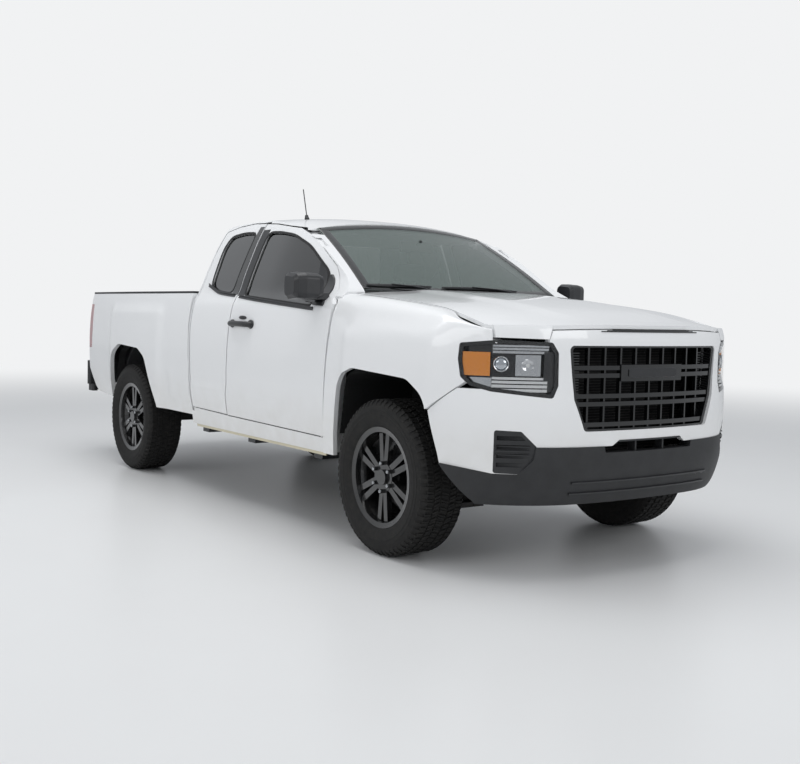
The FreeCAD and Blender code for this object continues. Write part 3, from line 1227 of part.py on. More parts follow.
def turned(points, angle=360.0):
    """Solid of revolution about the Y axis from (radius, y) pairs."""
    wire = Part.makePolygon([V(r, y, 0) for r, y in points] + [V(points[0][0], points[0][1], 0)])
    return solid(Part.Face(wire).revolve(V(0, 0, 0), V(0, 1, 0), angle))


def rim():
    """Wheel rim at the origin, its outer face towards negative Y, with brake disc."""
    barrel = turned(wheel_profile())
    face_y = -RIM_WIDTH / 2.0 + 12.0
    hub = Part.makeCylinder(HUB_RADIUS, 46.0, V(0, face_y + 10.0, 0), V(0, 1, 0))
    cap = Part.makeCylinder(HUB_CAP_RADIUS, 20.0, V(0, face_y - 4.0, 0), V(0, 1, 0))
    spokes = []
    reach = RIM_FLANGE_DIAMETER / 2.0 - 12.0
    for i in range(SPOKE_PAIRS):
        for lean in (-1.0, 1.0):
            spoke = plate_z(((-SPOKE_WIDTH / 2.0 - 3.0, face_y + 12.0), (SPOKE_WIDTH / 2.0 + 3.0, face_y + 12.0),
                             (SPOKE_WIDTH / 2.0, face_y + 44.0), (-SPOKE_WIDTH / 2.0, face_y + 44.0)),
                            HUB_RADIUS - 14.0, reach - 22.0)
            root = V(lean * 15.0, 0, 0)
            spoke.translate(root)
            spoke.rotate(V(lean * 15.0, 0, HUB_RADIUS), V(0, 1, 0), lean * 5.5)
            spoke.rotate(V(0, 0, 0), V(0, 1, 0), 360.0 * i / SPOKE_PAIRS)
            spokes.append(spoke)
    disc = Part.makeCylinder(DISC_RADIUS, DISC_THICKNESS, V(0, DISC_PLACE, 0), V(0, 1, 0))
    hat = Part.makeCylinder(82.0, DISC_PLACE + 2.0 - face_y - 52.0, V(0, face_y + 52.0, 0), V(0, 1, 0))
    lugs = []
    for i in range(6):
        angle = math.radians(60.0 * i + 30.0)
        at = V(math.cos(angle) * LUG_CIRCLE_DIAMETER / 2.0, face_y - LUG_LENGTH + 12.0,
               math.sin(angle) * LUG_CIRCLE_DIAMETER / 2.0)
        lugs.append(Part.makeCylinder(LUG_RADIUS, LUG_LENGTH, at, V(0, 1, 0)))
    return fuse([barrel, hub, cap, disc, hat] + spokes + lugs)


def tyre():
    """Tyre at the origin with flat sidewalls and bevelled shoulders."""
    seat = RIM_BARREL_DIAMETER / 2.0 + 15.0
    bead = RIM_FLANGE_DIAMETER / 2.0 + FIT_GAP + 0.3
    outer = TYRE_DIAMETER / 2.0
    half = TYRE_WIDTH / 2.0
    tread = half - 20.0
    flange = RIM_WIDTH / 2.0
    right = ((seat, -flange + 17.7), (bead, -flange + 10.2), (bead, -flange - 2.0), (bead + 40.0, -half),
             (outer - 34.0, -half), (outer, -tread))
    left = tuple((r, -y) for r, y in reversed(right))
    return turned(right + left)


def knuckle():
    """Right steering knuckle with its ball joints, spindle and brake caliper."""
    upright = box(FRONT_AXLE_X - 30.0, FRONT_AXLE_X + 30.0, -KINGPIN_HALF - 28.0, -KINGPIN_HALF + 28.0,
                  HUB_Z - 132.0, HUB_Z + 134.0)
    carrier = Part.makeCylinder(68.0, 50.0, V(FRONT_AXLE_X, -KINGPIN_HALF - 26.0, HUB_Z), V(0, 1, 0))
    spindle_end = -TRACK_HALF + DISC_PLACE + DISC_THICKNESS + FIT_GAP
    spindle = Part.makeCylinder(34.0, abs(spindle_end + KINGPIN_HALF) + 2.0, V(FRONT_AXLE_X, spindle_end, HUB_Z),
                                V(0, 1, 0))
    low = HUB_Z - ARM_REACH_Z + LOWER_ARM_THICKNESS / 2.0 + FIT_GAP
    high = HUB_Z + ARM_REACH_Z - UPPER_ARM_THICKNESS / 2.0 - FIT_GAP
    pins = [Part.makeCylinder(14.0, 12.0, V(FRONT_AXLE_X, -KINGPIN_HALF, z)) for z in (low, high - 12.0)]
    return fuse([upright, carrier, spindle] + pins)


def antenna():
    foot = V(200.0, -420.0, roof_z(200.0, -420.0))
    base = Part.makeCone(16.0, 9.0, 26.0, foot - V(0, 0, 0.0), V(-0.28, 0, 1.0))
    mast = rod(tuple(foot + V(-3.0, 0, 15.0)), tuple(foot + V(-52.0, 0, 190.0)), 3.2)
    return fuse([base, mast]).cut(roof_skin(200.0, 760.0))


def save(name, shape):
    """Write one named piece."""
    solids = shape.Solids
    whole = solids[0] if len(solids) == 1 else Part.makeCompound(solids)
    whole.exportStep("parts/" + name + ".step")


def main():
    os.makedirs("parts", exist_ok=True)
    fender_right = fender()
    spaces = door_spaces()
    side_right = cab_side(fender_right, spaces)
    roof_panel = roof(spaces)
    front_right = fuse([door(FRONT_DOOR, FRONT_WINDOW), hinge_pin(FRONT_HINGE_AT, FRONT_HINGE_ALONG, 527.4)])
    rear_right = fuse([door(rear_door_points(), REAR_WINDOW), hinge_pin(REAR_HINGE_AT, REAR_HINGE_ALONG, 551.9)])
    front_glass = window_glass(FRONT_WINDOW)
    back_glass = window_glass(REAR_WINDOW)
    mirror_right = mirror_body()
    bedside_right = bedside()
    knuckle_right = knuckle()
    lower_arms, upper_arm = front_suspension()
    save("fender_right", fender_right)
    save("fender_left", mirrored(fender_right))
    save("cab_side_right", side_right)
    save("cab_side_left", mirrored(side_right))
    save("door_front_right", front_right)
    save("door_front_left", mirrored(front_right))
    save("door_rear_right", rear_right)
    save("door_rear_left", mirrored(rear_right))
    save("glass_front_right", front_glass)
    save("glass_front_left", mirrored(front_glass))
    save("glass_rear_right", back_glass)
    save("glass_rear_left", mirrored(back_glass))
    save("mirror_right", mirror_right)
    save("mirror_left", mirrored(mirror_right))
    save("cab_back", cab_back(roof_panel))
    save("cab_floor", floor())
    save("bulkhead", bulkhead())
    save("roof", roof_panel)
    save("windshield", windshield())
    save("rear_window", rear_glass())
    save("dashboard", dashboard())
    save("steering_wheel", steering_wheel())
    save("front_seats", both_sides(front_seat()))
    save("rear_seats", both_sides(rear_seat()))
    save("hood", hood())
    save("fascia", fascia())
    save("front_bumper", bumper())
    save("headlamps", both_sides(headlamp()))
    save("grille", grille())
    save("cowl_panel", cowl())
    save("bed_box", bed_box())
    save("bedside_right", bedside_right)
    save("bedside_left", mirrored(bedside_right))
    save("rail_caps", both_sides(rail_cap()))
    save("tailgate", tailgate())
    save("tail_lamps", both_sides(tail_lamp()))
    save("rear_bumper", rear_bumper())
    save("frame_rails", both_sides(rail()))
    save("cross_members", cross_members())
    brackets = body_mounts()
    save("body_mounts", Part.makeCompound(brackets + [mirrored(b) for b in brackets] + spring_hangers()))
    save("front_suspension", Part.makeCompound([lower_arms, upper_arm, mirrored(lower_arms),
                                                mirrored(upper_arm)]))
    save("rear_axle", rear_axle())
    save("engine", engine())
    save("exhaust", exhaust())
    save("fuel_tank", fuel_tank())
    save("spare_wheel", spare_wheel())
    arm_space = box(1665.0, 1880.0, -440.0, -400.0, 500.0, 570.0)
    front_liner = wheel_liner(FRONT_ARCH, 868.0, RAIL_INNER + RAIL_WIDTH + FIT_GAP, 532.0).cut(arm_space)
    rear_liner = wheel_liner(REAR_ARCH, 850.0, BED_INNER_HALF + BED_WALL + 40.0 + FIT_GAP, 1200.0)
    save("wheel_liners", Part.makeCompound([front_liner, rear_liner, mirrored(front_liner),
                                            mirrored(rear_liner)]))
    save("antenna", antenna())
    save("knuckle_right", knuckle_right)
    save("knuckle_left", mirrored(knuckle_right))
    wheel = rim()
    rubber = tyre()
    for end, x in (("front", FRONT_AXLE_X), ("rear", REAR_AXLE_X)):
        for side, sign in (("right", -1.0), ("left", 1.0)):
            for name, shape in (("rim", wheel), ("tyre", rubber)):
                piece = shape if sign < 0 else mirrored(shape)
                moved = piece.copy()
                moved.translate(V(x, sign * TRACK_HALF, HUB_Z))
                save(name + "_" + end + "_" + side, moved)


main()
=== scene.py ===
"""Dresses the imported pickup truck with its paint, glass, rubber, lamps, trim and seats."""
import math
import bmesh
import bpy
from mathutils import Matrix, Vector
from mathutils.bvhtree import BVHTree


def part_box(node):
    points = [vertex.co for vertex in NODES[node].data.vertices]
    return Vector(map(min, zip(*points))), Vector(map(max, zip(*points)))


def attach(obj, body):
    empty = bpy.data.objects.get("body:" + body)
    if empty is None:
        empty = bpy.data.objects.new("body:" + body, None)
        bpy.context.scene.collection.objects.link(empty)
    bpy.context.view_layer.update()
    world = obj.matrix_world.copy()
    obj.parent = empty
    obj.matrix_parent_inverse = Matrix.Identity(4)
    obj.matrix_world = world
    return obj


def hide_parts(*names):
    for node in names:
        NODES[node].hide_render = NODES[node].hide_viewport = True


bl_info = {
    "name": "Pickup truck dressing",
    "version": (1, 0, 0),
    "blender": (4, 5, 0),
    "location": "View3D > Sidebar > Truck",
    "description": "Builds the finishes and small pieces of a pickup truck round its packed frame",
    "category": "Object",
}

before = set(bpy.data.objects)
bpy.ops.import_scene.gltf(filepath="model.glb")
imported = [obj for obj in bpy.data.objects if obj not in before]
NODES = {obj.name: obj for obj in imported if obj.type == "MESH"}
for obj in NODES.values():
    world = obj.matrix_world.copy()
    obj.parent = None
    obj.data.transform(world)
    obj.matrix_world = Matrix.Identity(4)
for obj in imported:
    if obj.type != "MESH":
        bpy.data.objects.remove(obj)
SIDES = (("right", -1.0), ("left", 1.0))
# Lengths are in metres unless a name says otherwise.
AXLES = (("front", 1.7725), ("rear", -1.4855))
HALF_TRACK = 0.7925
TYRE_RADIUS = 0.388
HUB_Z = TYRE_RADIUS
WHEELS = [(axle + "_" + side, x, sign * HALF_TRACK) for axle, x in AXLES for side, sign in SIDES]

# Rays that look for a side of the truck start this far out, past the mirrors.
OUTSIDE_Y = 1.3
# Points closer than this are one, on the frame's meshes and on new ones.
FRAME_WELD = 0.00005
NEW_WELD = 0.00002
# Faces that meet at more than this stay sharp.
SHARP_DEG = 35.0
TYRE_SHARP_DEG = 30.0

# The camera, solved from the wheels, windows and lamps in the photograph.
PHOTO_WIDTH, PHOTO_HEIGHT = 800.0, 764.0
FOCAL_PX = 1067.8
LENS_AXIS_PX = (389.7, 376.2)
SENSOR_MM = 36.0
CAMERA_PLACE = (6.066, -3.868, 1.197)
CAMERA_AROUND_DEG, CAMERA_UP_DEG, CAMERA_ROLL_DEG = 54.97, 3.39, 1.28

# The body paint is greyest, in patches, up to the first height and keeps its own colour above the second.
LOW_GREYING = (0.42, 0.78)
SILL_FLANGE_TOP = 0.4455
# The floor runs out into the backdrop between these distances from the middle.
FLOOR_FADE = (5.0, 15.0)
# Units of the wave texture to one band.
WAVE_BAND = 6.28


def linear(code):
    """Linear colour from an sRGB hex value."""
    parts = []
    for at in (0, 2, 4):
        value = int(code[at:at + 2], 16) / 255.0
        parts.append(value / 12.92 if value <= 0.04045 else ((value + 0.055) / 1.055) ** 2.4)
    return tuple(parts)


def rgba(colour):
    """Colour with full alpha, from a hex value or three linear numbers."""
    if isinstance(colour, str):
        colour = linear(colour)
    return (colour[0], colour[1], colour[2], 1.0)


class TruckFinish(bpy.types.PropertyGroup):
    """Colours that an owner would choose."""
    body: bpy.props.FloatVectorProperty(
        name="Body paint", description="Base colour under the clear coat", subtype="COLOR", size=3,
        min=0.0, max=1.0, default=linear("E9EAEB"))
    wheel: bpy.props.FloatVectorProperty(
        name="Wheel paint", description="Enamel on the alloy wheels", subtype="COLOR", size=3,
        min=0.0, max=1.0, default=linear("101113"))
    cloth: bpy.props.FloatVectorProperty(
        name="Cloth colour", description="Warp colour of the seat cloth", subtype="COLOR", size=3,
        min=0.0, max=1.0, default=linear("2C2E31"))
    floor: bpy.props.FloatVectorProperty(
        name="Studio floor", description="Colour of the floor that the truck stands on", subtype="COLOR",
        size=3, min=0.0, max=1.0, default=linear("E2E3E3"))


class TruckTyre(bpy.types.PropertyGroup):
    """Sizes of the tread."""
    pitches: bpy.props.IntProperty(
        name="Tread pitches", description="Groups of tread blocks round the tyre", min=40, max=90, default=64)
    depth: bpy.props.FloatProperty(
        name="Tread depth", description="Height of the tread blocks", unit="LENGTH", min=0.004, max=0.014,
        default=0.008)


class TruckSeat(bpy.types.PropertyGroup):
    """Sizes of the upholstery."""
    swell: bpy.props.FloatProperty(
        name="Swell", description="Furthest that a pad may swell from its cut shape", unit="LENGTH",
        min=0.004, max=0.03, default=0.018)
    seam: bpy.props.FloatProperty(
        name="Seam depth", description="Depth of the sewn channels", unit="LENGTH", min=0.001, max=0.01,
        default=0.005)


# Materials

def add(tree, kind, settings=None, **links):
    """Add a node, set its properties, and give its inputs values or links."""
    item = tree.nodes.new(kind)
    for key, value in (settings or {}).items():
        setattr(item, key, value)
    for key, value in links.items():
        numbered = key[0] == "i" and key[1:].isdigit()
        socket = item.inputs[int(key[1:]) if numbered else key.replace("_", " ")]
        if isinstance(value, bpy.types.NodeSocket):
            tree.links.new(value, socket)
        else:
            socket.default_value = value
    return item


def start(name, colour, **sockets):
    """New material with its Principled shader, colours and numbers on the shader's own sockets."""
    made = bpy.data.materials.new(name)
    made.use_nodes = True
    tree = made.node_tree
    bsdf = tree.nodes["Principled BSDF"]
    bsdf.inputs["Base Color"].default_value = rgba(colour)
    for key, value in sockets.items():
        bsdf.inputs[key.replace("_", " ")].default_value = value
    place = add(tree, "ShaderNodeTexCoord").outputs["Object"]
    return made, tree, bsdf, place


def blended(tree, factor, first, second):
    """Socket of a colour between two, by a factor. The first may be a socket itself."""
    if not isinstance(first, bpy.types.NodeSocket):
        first = rgba(first)
    return add(tree, "ShaderNodeMix", {"data_type": "RGBA"}, Factor=factor, i6=first,
               i7=rgba(second)).outputs[2]


def mottled(tree, bsdf, place, first, second, size_mm, contrast):
    """Cloudy variation between two colours, with patches of a real size."""
    cloud = add(tree, "ShaderNodeTexNoise", Vector=place, Scale=1000.0 / size_mm, Detail=4.0, Roughness=0.6)
    ramp = add(tree, "ShaderNodeMapRange", Value=cloud.outputs["Fac"], i1=0.5 - contrast, i2=0.5 + contrast)
    tree.links.new(blended(tree, ramp.outputs["Result"], first, second), bsdf.inputs["Base Color"])


def grained(tree, bsdf, height, depth_mm, strength=0.6):
    """Bump of a height pattern, as deep as the real one."""
    bump = add(tree, "ShaderNodeBump", Strength=strength, Distance=depth_mm / 1000.0, Height=height)
    tree.links.new(bump.outputs["Normal"], bsdf.inputs["Normal"])


# Common finishes: colour, worn or dusty colour, patch size mm, contrast, roughness, metallic, coat,
# grain size mm, grain depth mm.
PLAIN_FINISHES = {
    # Textured polypropylene, injection moulded: fine leather grain that scatters light softly.
    "moulded_black_polypropylene": ("1C1D1F", "292A2C", 90, 0.3, 0.56, 0.0, 0.0, 2.6, 0.30),
    # Piano black ABS, moulded and polished: deep gloss with faint polishing haze.
    "gloss_black_abs": ("0B0C0D", "131415", 160, 0.3, 0.14, 0.0, 0.7, 9.0, 0.02),
    # Satin ABS of a mirror housing: smoother than the bumper, with a soft sheen.
    "satin_black_abs": ("1D1E20", "26272A", 110, 0.3, 0.38, 0.0, 0.1, 1.8, 0.06),
    # Cavity wax and chip paint on chassis steel: dull black with road dust in it.
    "chassis_wax_on_steel": ("17181A", "2C2823", 120, 0.18, 0.58, 0.0, 0.0, 7.0, 0.35),
    # Cast iron, sand cast: grey-brown with light surface rust.
    "sand_cast_iron": ("333436", "4C3D31", 60, 0.2, 0.66, 0.45, 0.0, 2.6, 0.35),
    # Cast aluminium of an engine block: dull silver with a pebbled skin.
    "pebbled_cast_aluminium": ("63666A", "45474A", 50, 0.22, 0.52, 0.8, 0.0, 2.8, 0.30),
    # Aluminised exhaust steel, rolled: warm grey, browned by heat.
    "aluminised_exhaust_steel": ("807A73", "5B4839", 90, 0.2, 0.42, 0.9, 0.0, 5.0, 0.08),
    # Rotationally moulded polyethylene of a fuel tank: waxy black.
    "moulded_polyethylene": ("151617", "1F2021", 140, 0.3, 0.48, 0.0, 0.0, 4.0, 0.10),
    # Needled polyester arch liner: matt black felt that swallows light. The radiator core shows as the same
    # dull black.
    "needled_arch_felt": ("0F1011", "1B1B1C", 14, 0.25, 0.95, 0.0, 0.0, 2.4, 0.45),
    # Sprayed polyurea bed liner: coarse pebbles with dull tops.
    "sprayed_bed_liner": ("1A1B1D", "2A2B2D", 26, 0.2, 0.74, 0.0, 0.0, 3.6, 0.80),
    # Tufted nylon carpet: short pile with shaded loops.
    "tufted_nylon_carpet": ("27292C", "17181A", 7, 0.2, 0.96, 0.0, 0.0, 3.0, 0.90),
    # Slush-moulded polyurethane of a dashboard: matt skin with a fine hide grain.
    "slush_moulded_dash_skin": ("2B2D30", "34363A", 260, 0.3, 0.64, 0.0, 0.0, 2.2, 0.20),
    # Dipped electro-coat on pressed steel: even black with a low gloss.
    "electro_coated_steel": ("16171A", "222428", 150, 0.25, 0.44, 0.0, 0.2, 9.0, 0.05),
    # Zinc-plated steel of wheel nuts: bright with grey handling marks.
    "zinc_plated_steel": ("BFC1C3", "8E9093", 12, 0.25, 0.24, 1.0, 0.0, 3.0, 0.03),
    # Screen-printed ceramic enamel fired on the glass edge: flat black under gloss.
    "fired_ceramic_enamel": ("0B0C0D", "141516", 40, 0.3, 0.22, 0.0, 0.4, 4.0, 0.01),
    # Vacuum-metallised reflector: mirror bright over smooth plastic.
    "vacuum_metallised_reflector": ("E4E6E8", "CDD0D3", 60, 0.3, 0.09, 1.0, 0.0, 12.0, 0.02),
    # Silvered mirror glass: plain reflection with a faint blue.
    "silvered_mirror_glass": ("D5DADF", "C9CFD5", 200, 0.3, 0.03, 1.0, 0.0, 60.0, 0.01),
    # Extruded rubber seal: soft black with a dull bloom.
    "extruded_seal_rubber": ("141415", "202021", 50, 0.25, 0.72, 0.0, 0.0, 3.0, 0.05),
}


def plain_finish(name):
    """A finish from the table of common ones."""
    colour, worn, patch, contrast, rough, metal, coat, grain, depth = PLAIN_FINISHES[name]
    made, tree, bsdf, place = start(name, colour, Roughness=rough, Metallic=metal, Coat_Weight=coat)
    mottled(tree, bsdf, place, colour, worn, patch, contrast)
    fine = add(tree, "ShaderNodeTexNoise", Vector=place, Scale=1000.0 / grain, Detail=2.0)
    grained(tree, bsdf, fine.outputs["Fac"], depth)
    return made


def body_enamel(name, colour, sill=False):
    """Enamel under clear lacquer, sprayed: high gloss with a faint orange peel, and greyer in patches towards
    the bottom.

    A sill's flange below is cream seam wax."""
    made, tree, bsdf, place = start(name, colour, Roughness=0.32, Coat_Weight=1.0, Coat_Roughness=0.035,
                                    Coat_IOR=1.5)
    height = add(tree, "ShaderNodeSeparateXYZ", Vector=place).outputs["Z"]
    # The white turns greyer in patches towards the bottom of the body: a fade by height, broken up by noise.
    low_fade = add(tree, "ShaderNodeMapRange", Value=height, i1=LOW_GREYING[0], i2=LOW_GREYING[1], i3=1.0, i4=0.0)
    cloud = add(tree, "ShaderNodeTexNoise", Vector=place, Scale=9.0, Detail=5.0)
    low_grey_patches = add(tree, "ShaderNodeMath", {"operation": "MULTIPLY"}, i0=low_fade.outputs["Result"],
               i1=cloud.outputs["Fac"])
    result = blended(tree, low_grey_patches.outputs["Value"], colour, "CFCDC8")
    if sill:
        below = add(tree, "ShaderNodeMath", {"operation": "LESS_THAN"}, i0=height, i1=SILL_FLANGE_TOP)
        result = blended(tree, below.outputs["Value"], result, "CDC4A6")
    tree.links.new(result, bsdf.inputs["Base Color"])
    # Orange peel is about 2 mm across and too shallow to show; 7 mm waves stand for it.
    peel = add(tree, "ShaderNodeTexNoise", Vector=place, Scale=140.0, Detail=1.0)
    grained(tree, bsdf, peel.outputs["Fac"], 0.05, 0.25)
    return made


def wheel_enamel(colour):
    """Gloss black enamel on cast alloy: sharp highlights along the spokes and brake dust in the corners."""
    made, tree, bsdf, place = start("black_enamel_on_alloy", colour, Roughness=0.26, Coat_Weight=0.8,
                                    Coat_Roughness=0.05)
    mottled(tree, bsdf, place, colour, "1D1C1B", 45, 0.2)
    fine = add(tree, "ShaderNodeTexNoise", Vector=place, Scale=260.0, Detail=2.0)
    grained(tree, bsdf, fine.outputs["Fac"], 0.04, 0.4)
    return made


def tyre_rubber():
    """Carbon-black tread rubber, vulcanised: dull charcoal, browner where it has run."""
    made, tree, bsdf, place = start("vulcanised_tread_rubber", "171718", Roughness=0.78,
                                    Specular_IOR_Level=0.35)
    mottled(tree, bsdf, place, "151516", "242321", 28, 0.22)
    fine = add(tree, "ShaderNodeTexNoise", Vector=place, Scale=420.0, Detail=3.0)
    grained(tree, bsdf, fine.outputs["Fac"], 0.18, 0.5)
    return made


def pane(name, colour, alpha, rough=0.02):
    """Toughened float glass tinted in the melt: glossy skin, with the cabin seen darkly through it."""
    made, tree, bsdf, place = start(name, colour, Roughness=rough, Alpha=alpha, IOR=1.52,
                                    Specular_IOR_Level=1.0, Coat_Weight=1.0, Coat_Roughness=0.01)
    wave = add(tree, "ShaderNodeTexNoise", Vector=place, Scale=5.0, Detail=1.0)
    grained(tree, bsdf, wave.outputs["Fac"], 0.15, 0.15)
    made.surface_render_method = "BLENDED"
    return made


def lens_plastic(name, colour, alpha, flute_mm, rough=0.06):
    """Moulded polycarbonate or acrylic lens with pressed flutes behind a smooth face."""
    made, tree, bsdf, place = start(name, colour, Roughness=rough, Alpha=alpha, IOR=1.58, Coat_Weight=1.0,
                                    Specular_IOR_Level=0.8)
    flutes = add(tree, "ShaderNodeTexWave", {"wave_type": "BANDS", "bands_direction": "DIAGONAL"},
                 Vector=place, Scale=1000.0 / flute_mm / WAVE_BAND, Distortion=0.0)
    grained(tree, bsdf, flutes.outputs["Fac"], 0.5, 0.35)
    return made


def seat_cloth(colour):
    """Woven polyester seat cloth in two tones: real threads are 0.6 mm, and are drawn at 3 mm to show."""
    made, tree, bsdf, place = start("woven_polyester_seat_cloth", colour, Roughness=0.92, Sheen_Weight=0.35,
                                    Sheen_Roughness=0.5)
    weave = add(tree, "ShaderNodeTexChecker", Vector=place, Scale=330.0, Color1=rgba(colour),
                Color2=rgba("404347"))
    tree.links.new(weave.outputs["Color"], bsdf.inputs["Base Color"])
    yarn = add(tree, "ShaderNodeTexVoronoi", {"feature": "F1"}, Vector=place, Scale=330.0)
    grained(tree, bsdf, yarn.outputs["Distance"], 0.8, 0.6)
    return made


def wheel_leather():
    """Finished leather on the steering wheel: fine pebbled hide, polished where hands rest."""
    made, tree, bsdf, place = start("finished_wheel_leather", "1A1A1B", Roughness=0.46, Coat_Weight=0.15)
    hide = add(tree, "ShaderNodeTexVoronoi", {"feature": "DISTANCE_TO_EDGE"}, Vector=place, Scale=450.0)
    mottled(tree, bsdf, place, "18181A", "232324", 35, 0.25)
    grained(tree, bsdf, hide.outputs["Distance"], 0.3, 0.5)
    return made


def studio_floor(colour):
    """Sealed concrete floor of a studio: pale, with a soft sheen that holds the truck's reflection."""
    made, tree, bsdf, place = start("sealed_studio_floor", colour, Roughness=0.34, Specular_IOR_Level=0.35)
    mottled(tree, bsdf, place, colour, "DEDEDE", 1800, 0.35)
    # Beyond the truck's shadow the floor runs out into the pale backdrop.
    path = add(tree, "ShaderNodeLightPath")
    far = add(tree, "ShaderNodeVectorMath", {"operation": "LENGTH"}, i0=place)
    fade = add(tree, "ShaderNodeMapRange", {"interpolation_type": "SMOOTHSTEP"}, Value=far.outputs["Value"],
               i1=FLOOR_FADE[0], i2=FLOOR_FADE[1])
    seen = add(tree, "ShaderNodeMath", {"operation": "MULTIPLY"}, i0=fade.outputs["Result"],
               i1=path.outputs["Is Camera Ray"])
    pale = add(tree, "ShaderNodeEmission", Color=rgba("F1F2F3"), Strength=1.0)
    shown = add(tree, "ShaderNodeMixShader", Fac=seen.outputs["Value"], i1=bsdf.outputs[0],
                i2=pale.outputs[0])
    tree.links.new(shown.outputs[0], tree.nodes["Material Output"].inputs["Surface"])
    return made


def finish(name):
    """The material of that name, made when it is first asked for."""
    found = bpy.data.materials.get(name)
    if found:
        return found
    chosen = bpy.context.scene.truck_finish
    if name in PLAIN_FINISHES:
        return plain_finish(name)
    makers = {
        "clear_coated_enamel": lambda: body_enamel(name, tuple(chosen.body)),
        "sill_enamel_and_seam_wax": lambda: body_enamel(name, tuple(chosen.body), True),
        "black_enamel_on_alloy": lambda: wheel_enamel(tuple(chosen.wheel)),
        "vulcanised_tread_rubber": tyre_rubber,
        "privacy_tinted_glass": lambda: pane(name, "0B0D0E", 0.90),
        "rear_tinted_glass": lambda: pane(name, "151819", 0.78),
        "laminated_windshield_glass": lambda: pane(name, "5E6F69", 0.46),
        "amber_polycarbonate": lambda: lens_plastic(name, "E58A12", 1.0, 7.0, 0.12),
        "red_acrylic": lambda: lens_plastic(name, "8E1216", 1.0, 9.0, 0.1),
        "frosted_white_acrylic": lambda: lens_plastic(name, "D9DBDC", 1.0, 9.0, 0.15),
        "clear_polycarbonate": lambda: lens_plastic(name, "14171A", 0.10, 400.0, 0.02),
        "woven_polyester_seat_cloth": lambda: seat_cloth(tuple(chosen.cloth)),
        "finished_wheel_leather": wheel_leather,
        "sealed_studio_floor": lambda: studio_floor(tuple(chosen.floor)),
    }
    return makers[name]()


# Mesh tools

def piece(name, mesh, material, body):
    """Link a finished mesh as a piece that rides on a body."""
    made = bpy.data.objects.new(name, mesh)
    bpy.context.scene.collection.objects.link(made)
    mesh.materials.clear()
    mesh.materials.append(finish(material))
    if body:
        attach(made, body)
    return made


def mesh_of(bm, name, sharp_deg=SHARP_DEG):
    """Mesh from a bmesh, smooth below an angle."""
    mesh = bpy.data.meshes.new(name)
    bm.to_mesh(mesh)
    bm.free()
    mesh.shade_smooth()
    mesh.set_sharp_from_angle(angle=math.radians(sharp_deg))
    return mesh


def closed(bm, name):
    """Mesh from a bmesh, doubles merged and faces outwards."""
    bmesh.ops.remove_doubles(bm, verts=bm.verts, dist=NEW_WELD)
    bmesh.ops.recalc_face_normals(bm, faces=bm.faces)
    return mesh_of(bm, name)


def turns(count):
    """Evenly spaced angles of a full turn."""
    return [2 * math.pi * k / count for k in range(count)]


def brick(bm, low, high, bevel=0.0, segments=2, turn=None):
    """Box with rounded edges, turned about its middle if asked."""
    made = bmesh.ops.create_cube(bm, size=1.0)["verts"]
    low, high = Vector(low), Vector(high)
    size = high - low
    middle = (high + low) / 2.0
    for v in made:
        v.co = Vector((v.co.x * size.x, v.co.y * size.y, v.co.z * size.z))
    # Dictionaries keep their order where sets don't, so every run gives the same mesh.
    edges = list(dict.fromkeys(e for v in made for e in v.link_edges))
    if bevel:
        result = bmesh.ops.bevel(bm, geom=edges, offset=bevel, segments=segments, profile=0.6, affect="EDGES")
        bevelled = [v for f in result["faces"] for v in f.verts]
        made = list(dict.fromkeys(bevelled + [v for v in made if v.is_valid]))
    for v in made:
        v.co = (turn @ v.co if turn else v.co) + middle
    return made


def ring_rows(bm, rows, close_rows=False):
    """Join rings of points into a skin, capped at both ends or closed on itself."""
    made = [[bm.verts.new(p) for p in row] for row in rows]
    count = len(made[0])
    pairs = list(zip(made, made[1:]))
    if close_rows:
        pairs.append((made[-1], made[0]))
    for a, b in pairs:
        for i in range(count):
            j = (i + 1) % count
            bm.faces.new((a[i], a[j], b[j], b[i]))
    if not close_rows:
        bm.faces.new(list(reversed(made[0])))
        bm.faces.new(made[-1])


def lathe(bm, profile, centre, count):
    """Turn a closed profile of (radius, place along Y) pairs about a wheel's axle."""
    centre = Vector(centre)
    ring_rows(bm, [[centre + Vector((r * math.sin(a), y, r * math.cos(a))) for r, y in profile]
                   for a in turns(count)], close_rows=True)


def tube(bm, points, radius, sides=10, flat=1.0):
    """Round bar along points; radius may be a list, and flat squashes it upright."""
    points = [Vector(p) for p in points]
    rows = []
    up = Vector((0, 0, 1))
    for i, p in enumerate(points):
        ahead = points[min(i + 1, len(points) - 1)] - points[max(i - 1, 0)]
        ahead.normalize()
        side = ahead.cross(up if abs(ahead.dot(up)) < 0.95 else Vector((1, 0, 0))).normalized()
        over = side.cross(ahead).normalized()
        r = radius[i] if isinstance(radius, (list, tuple)) else radius
        rows.append([p + side * (r * math.cos(a)) + over * (r * flat * math.sin(a)) for a in turns(sides)])
    ring_rows(bm, rows)


def curve_through(points, steps=6):
    """Smooth run of points through given ones."""
    points = [Vector(p) for p in points]
    result = []
    for i in range(len(points) - 1):
        p0, p1 = points[max(i - 1, 0)], points[i]
        p2, p3 = points[i + 1], points[min(i + 2, len(points) - 1)]
        for k in range(steps):
            t = k / steps
            result.append(0.5 * ((2 * p1) + (p2 - p0) * t + (2 * p0 - 5 * p1 + 4 * p2 - p3) * t * t
                                 + (3 * p1 - p0 - 3 * p2 + p3) * t ** 3))
    result.append(points[-1])
    return result


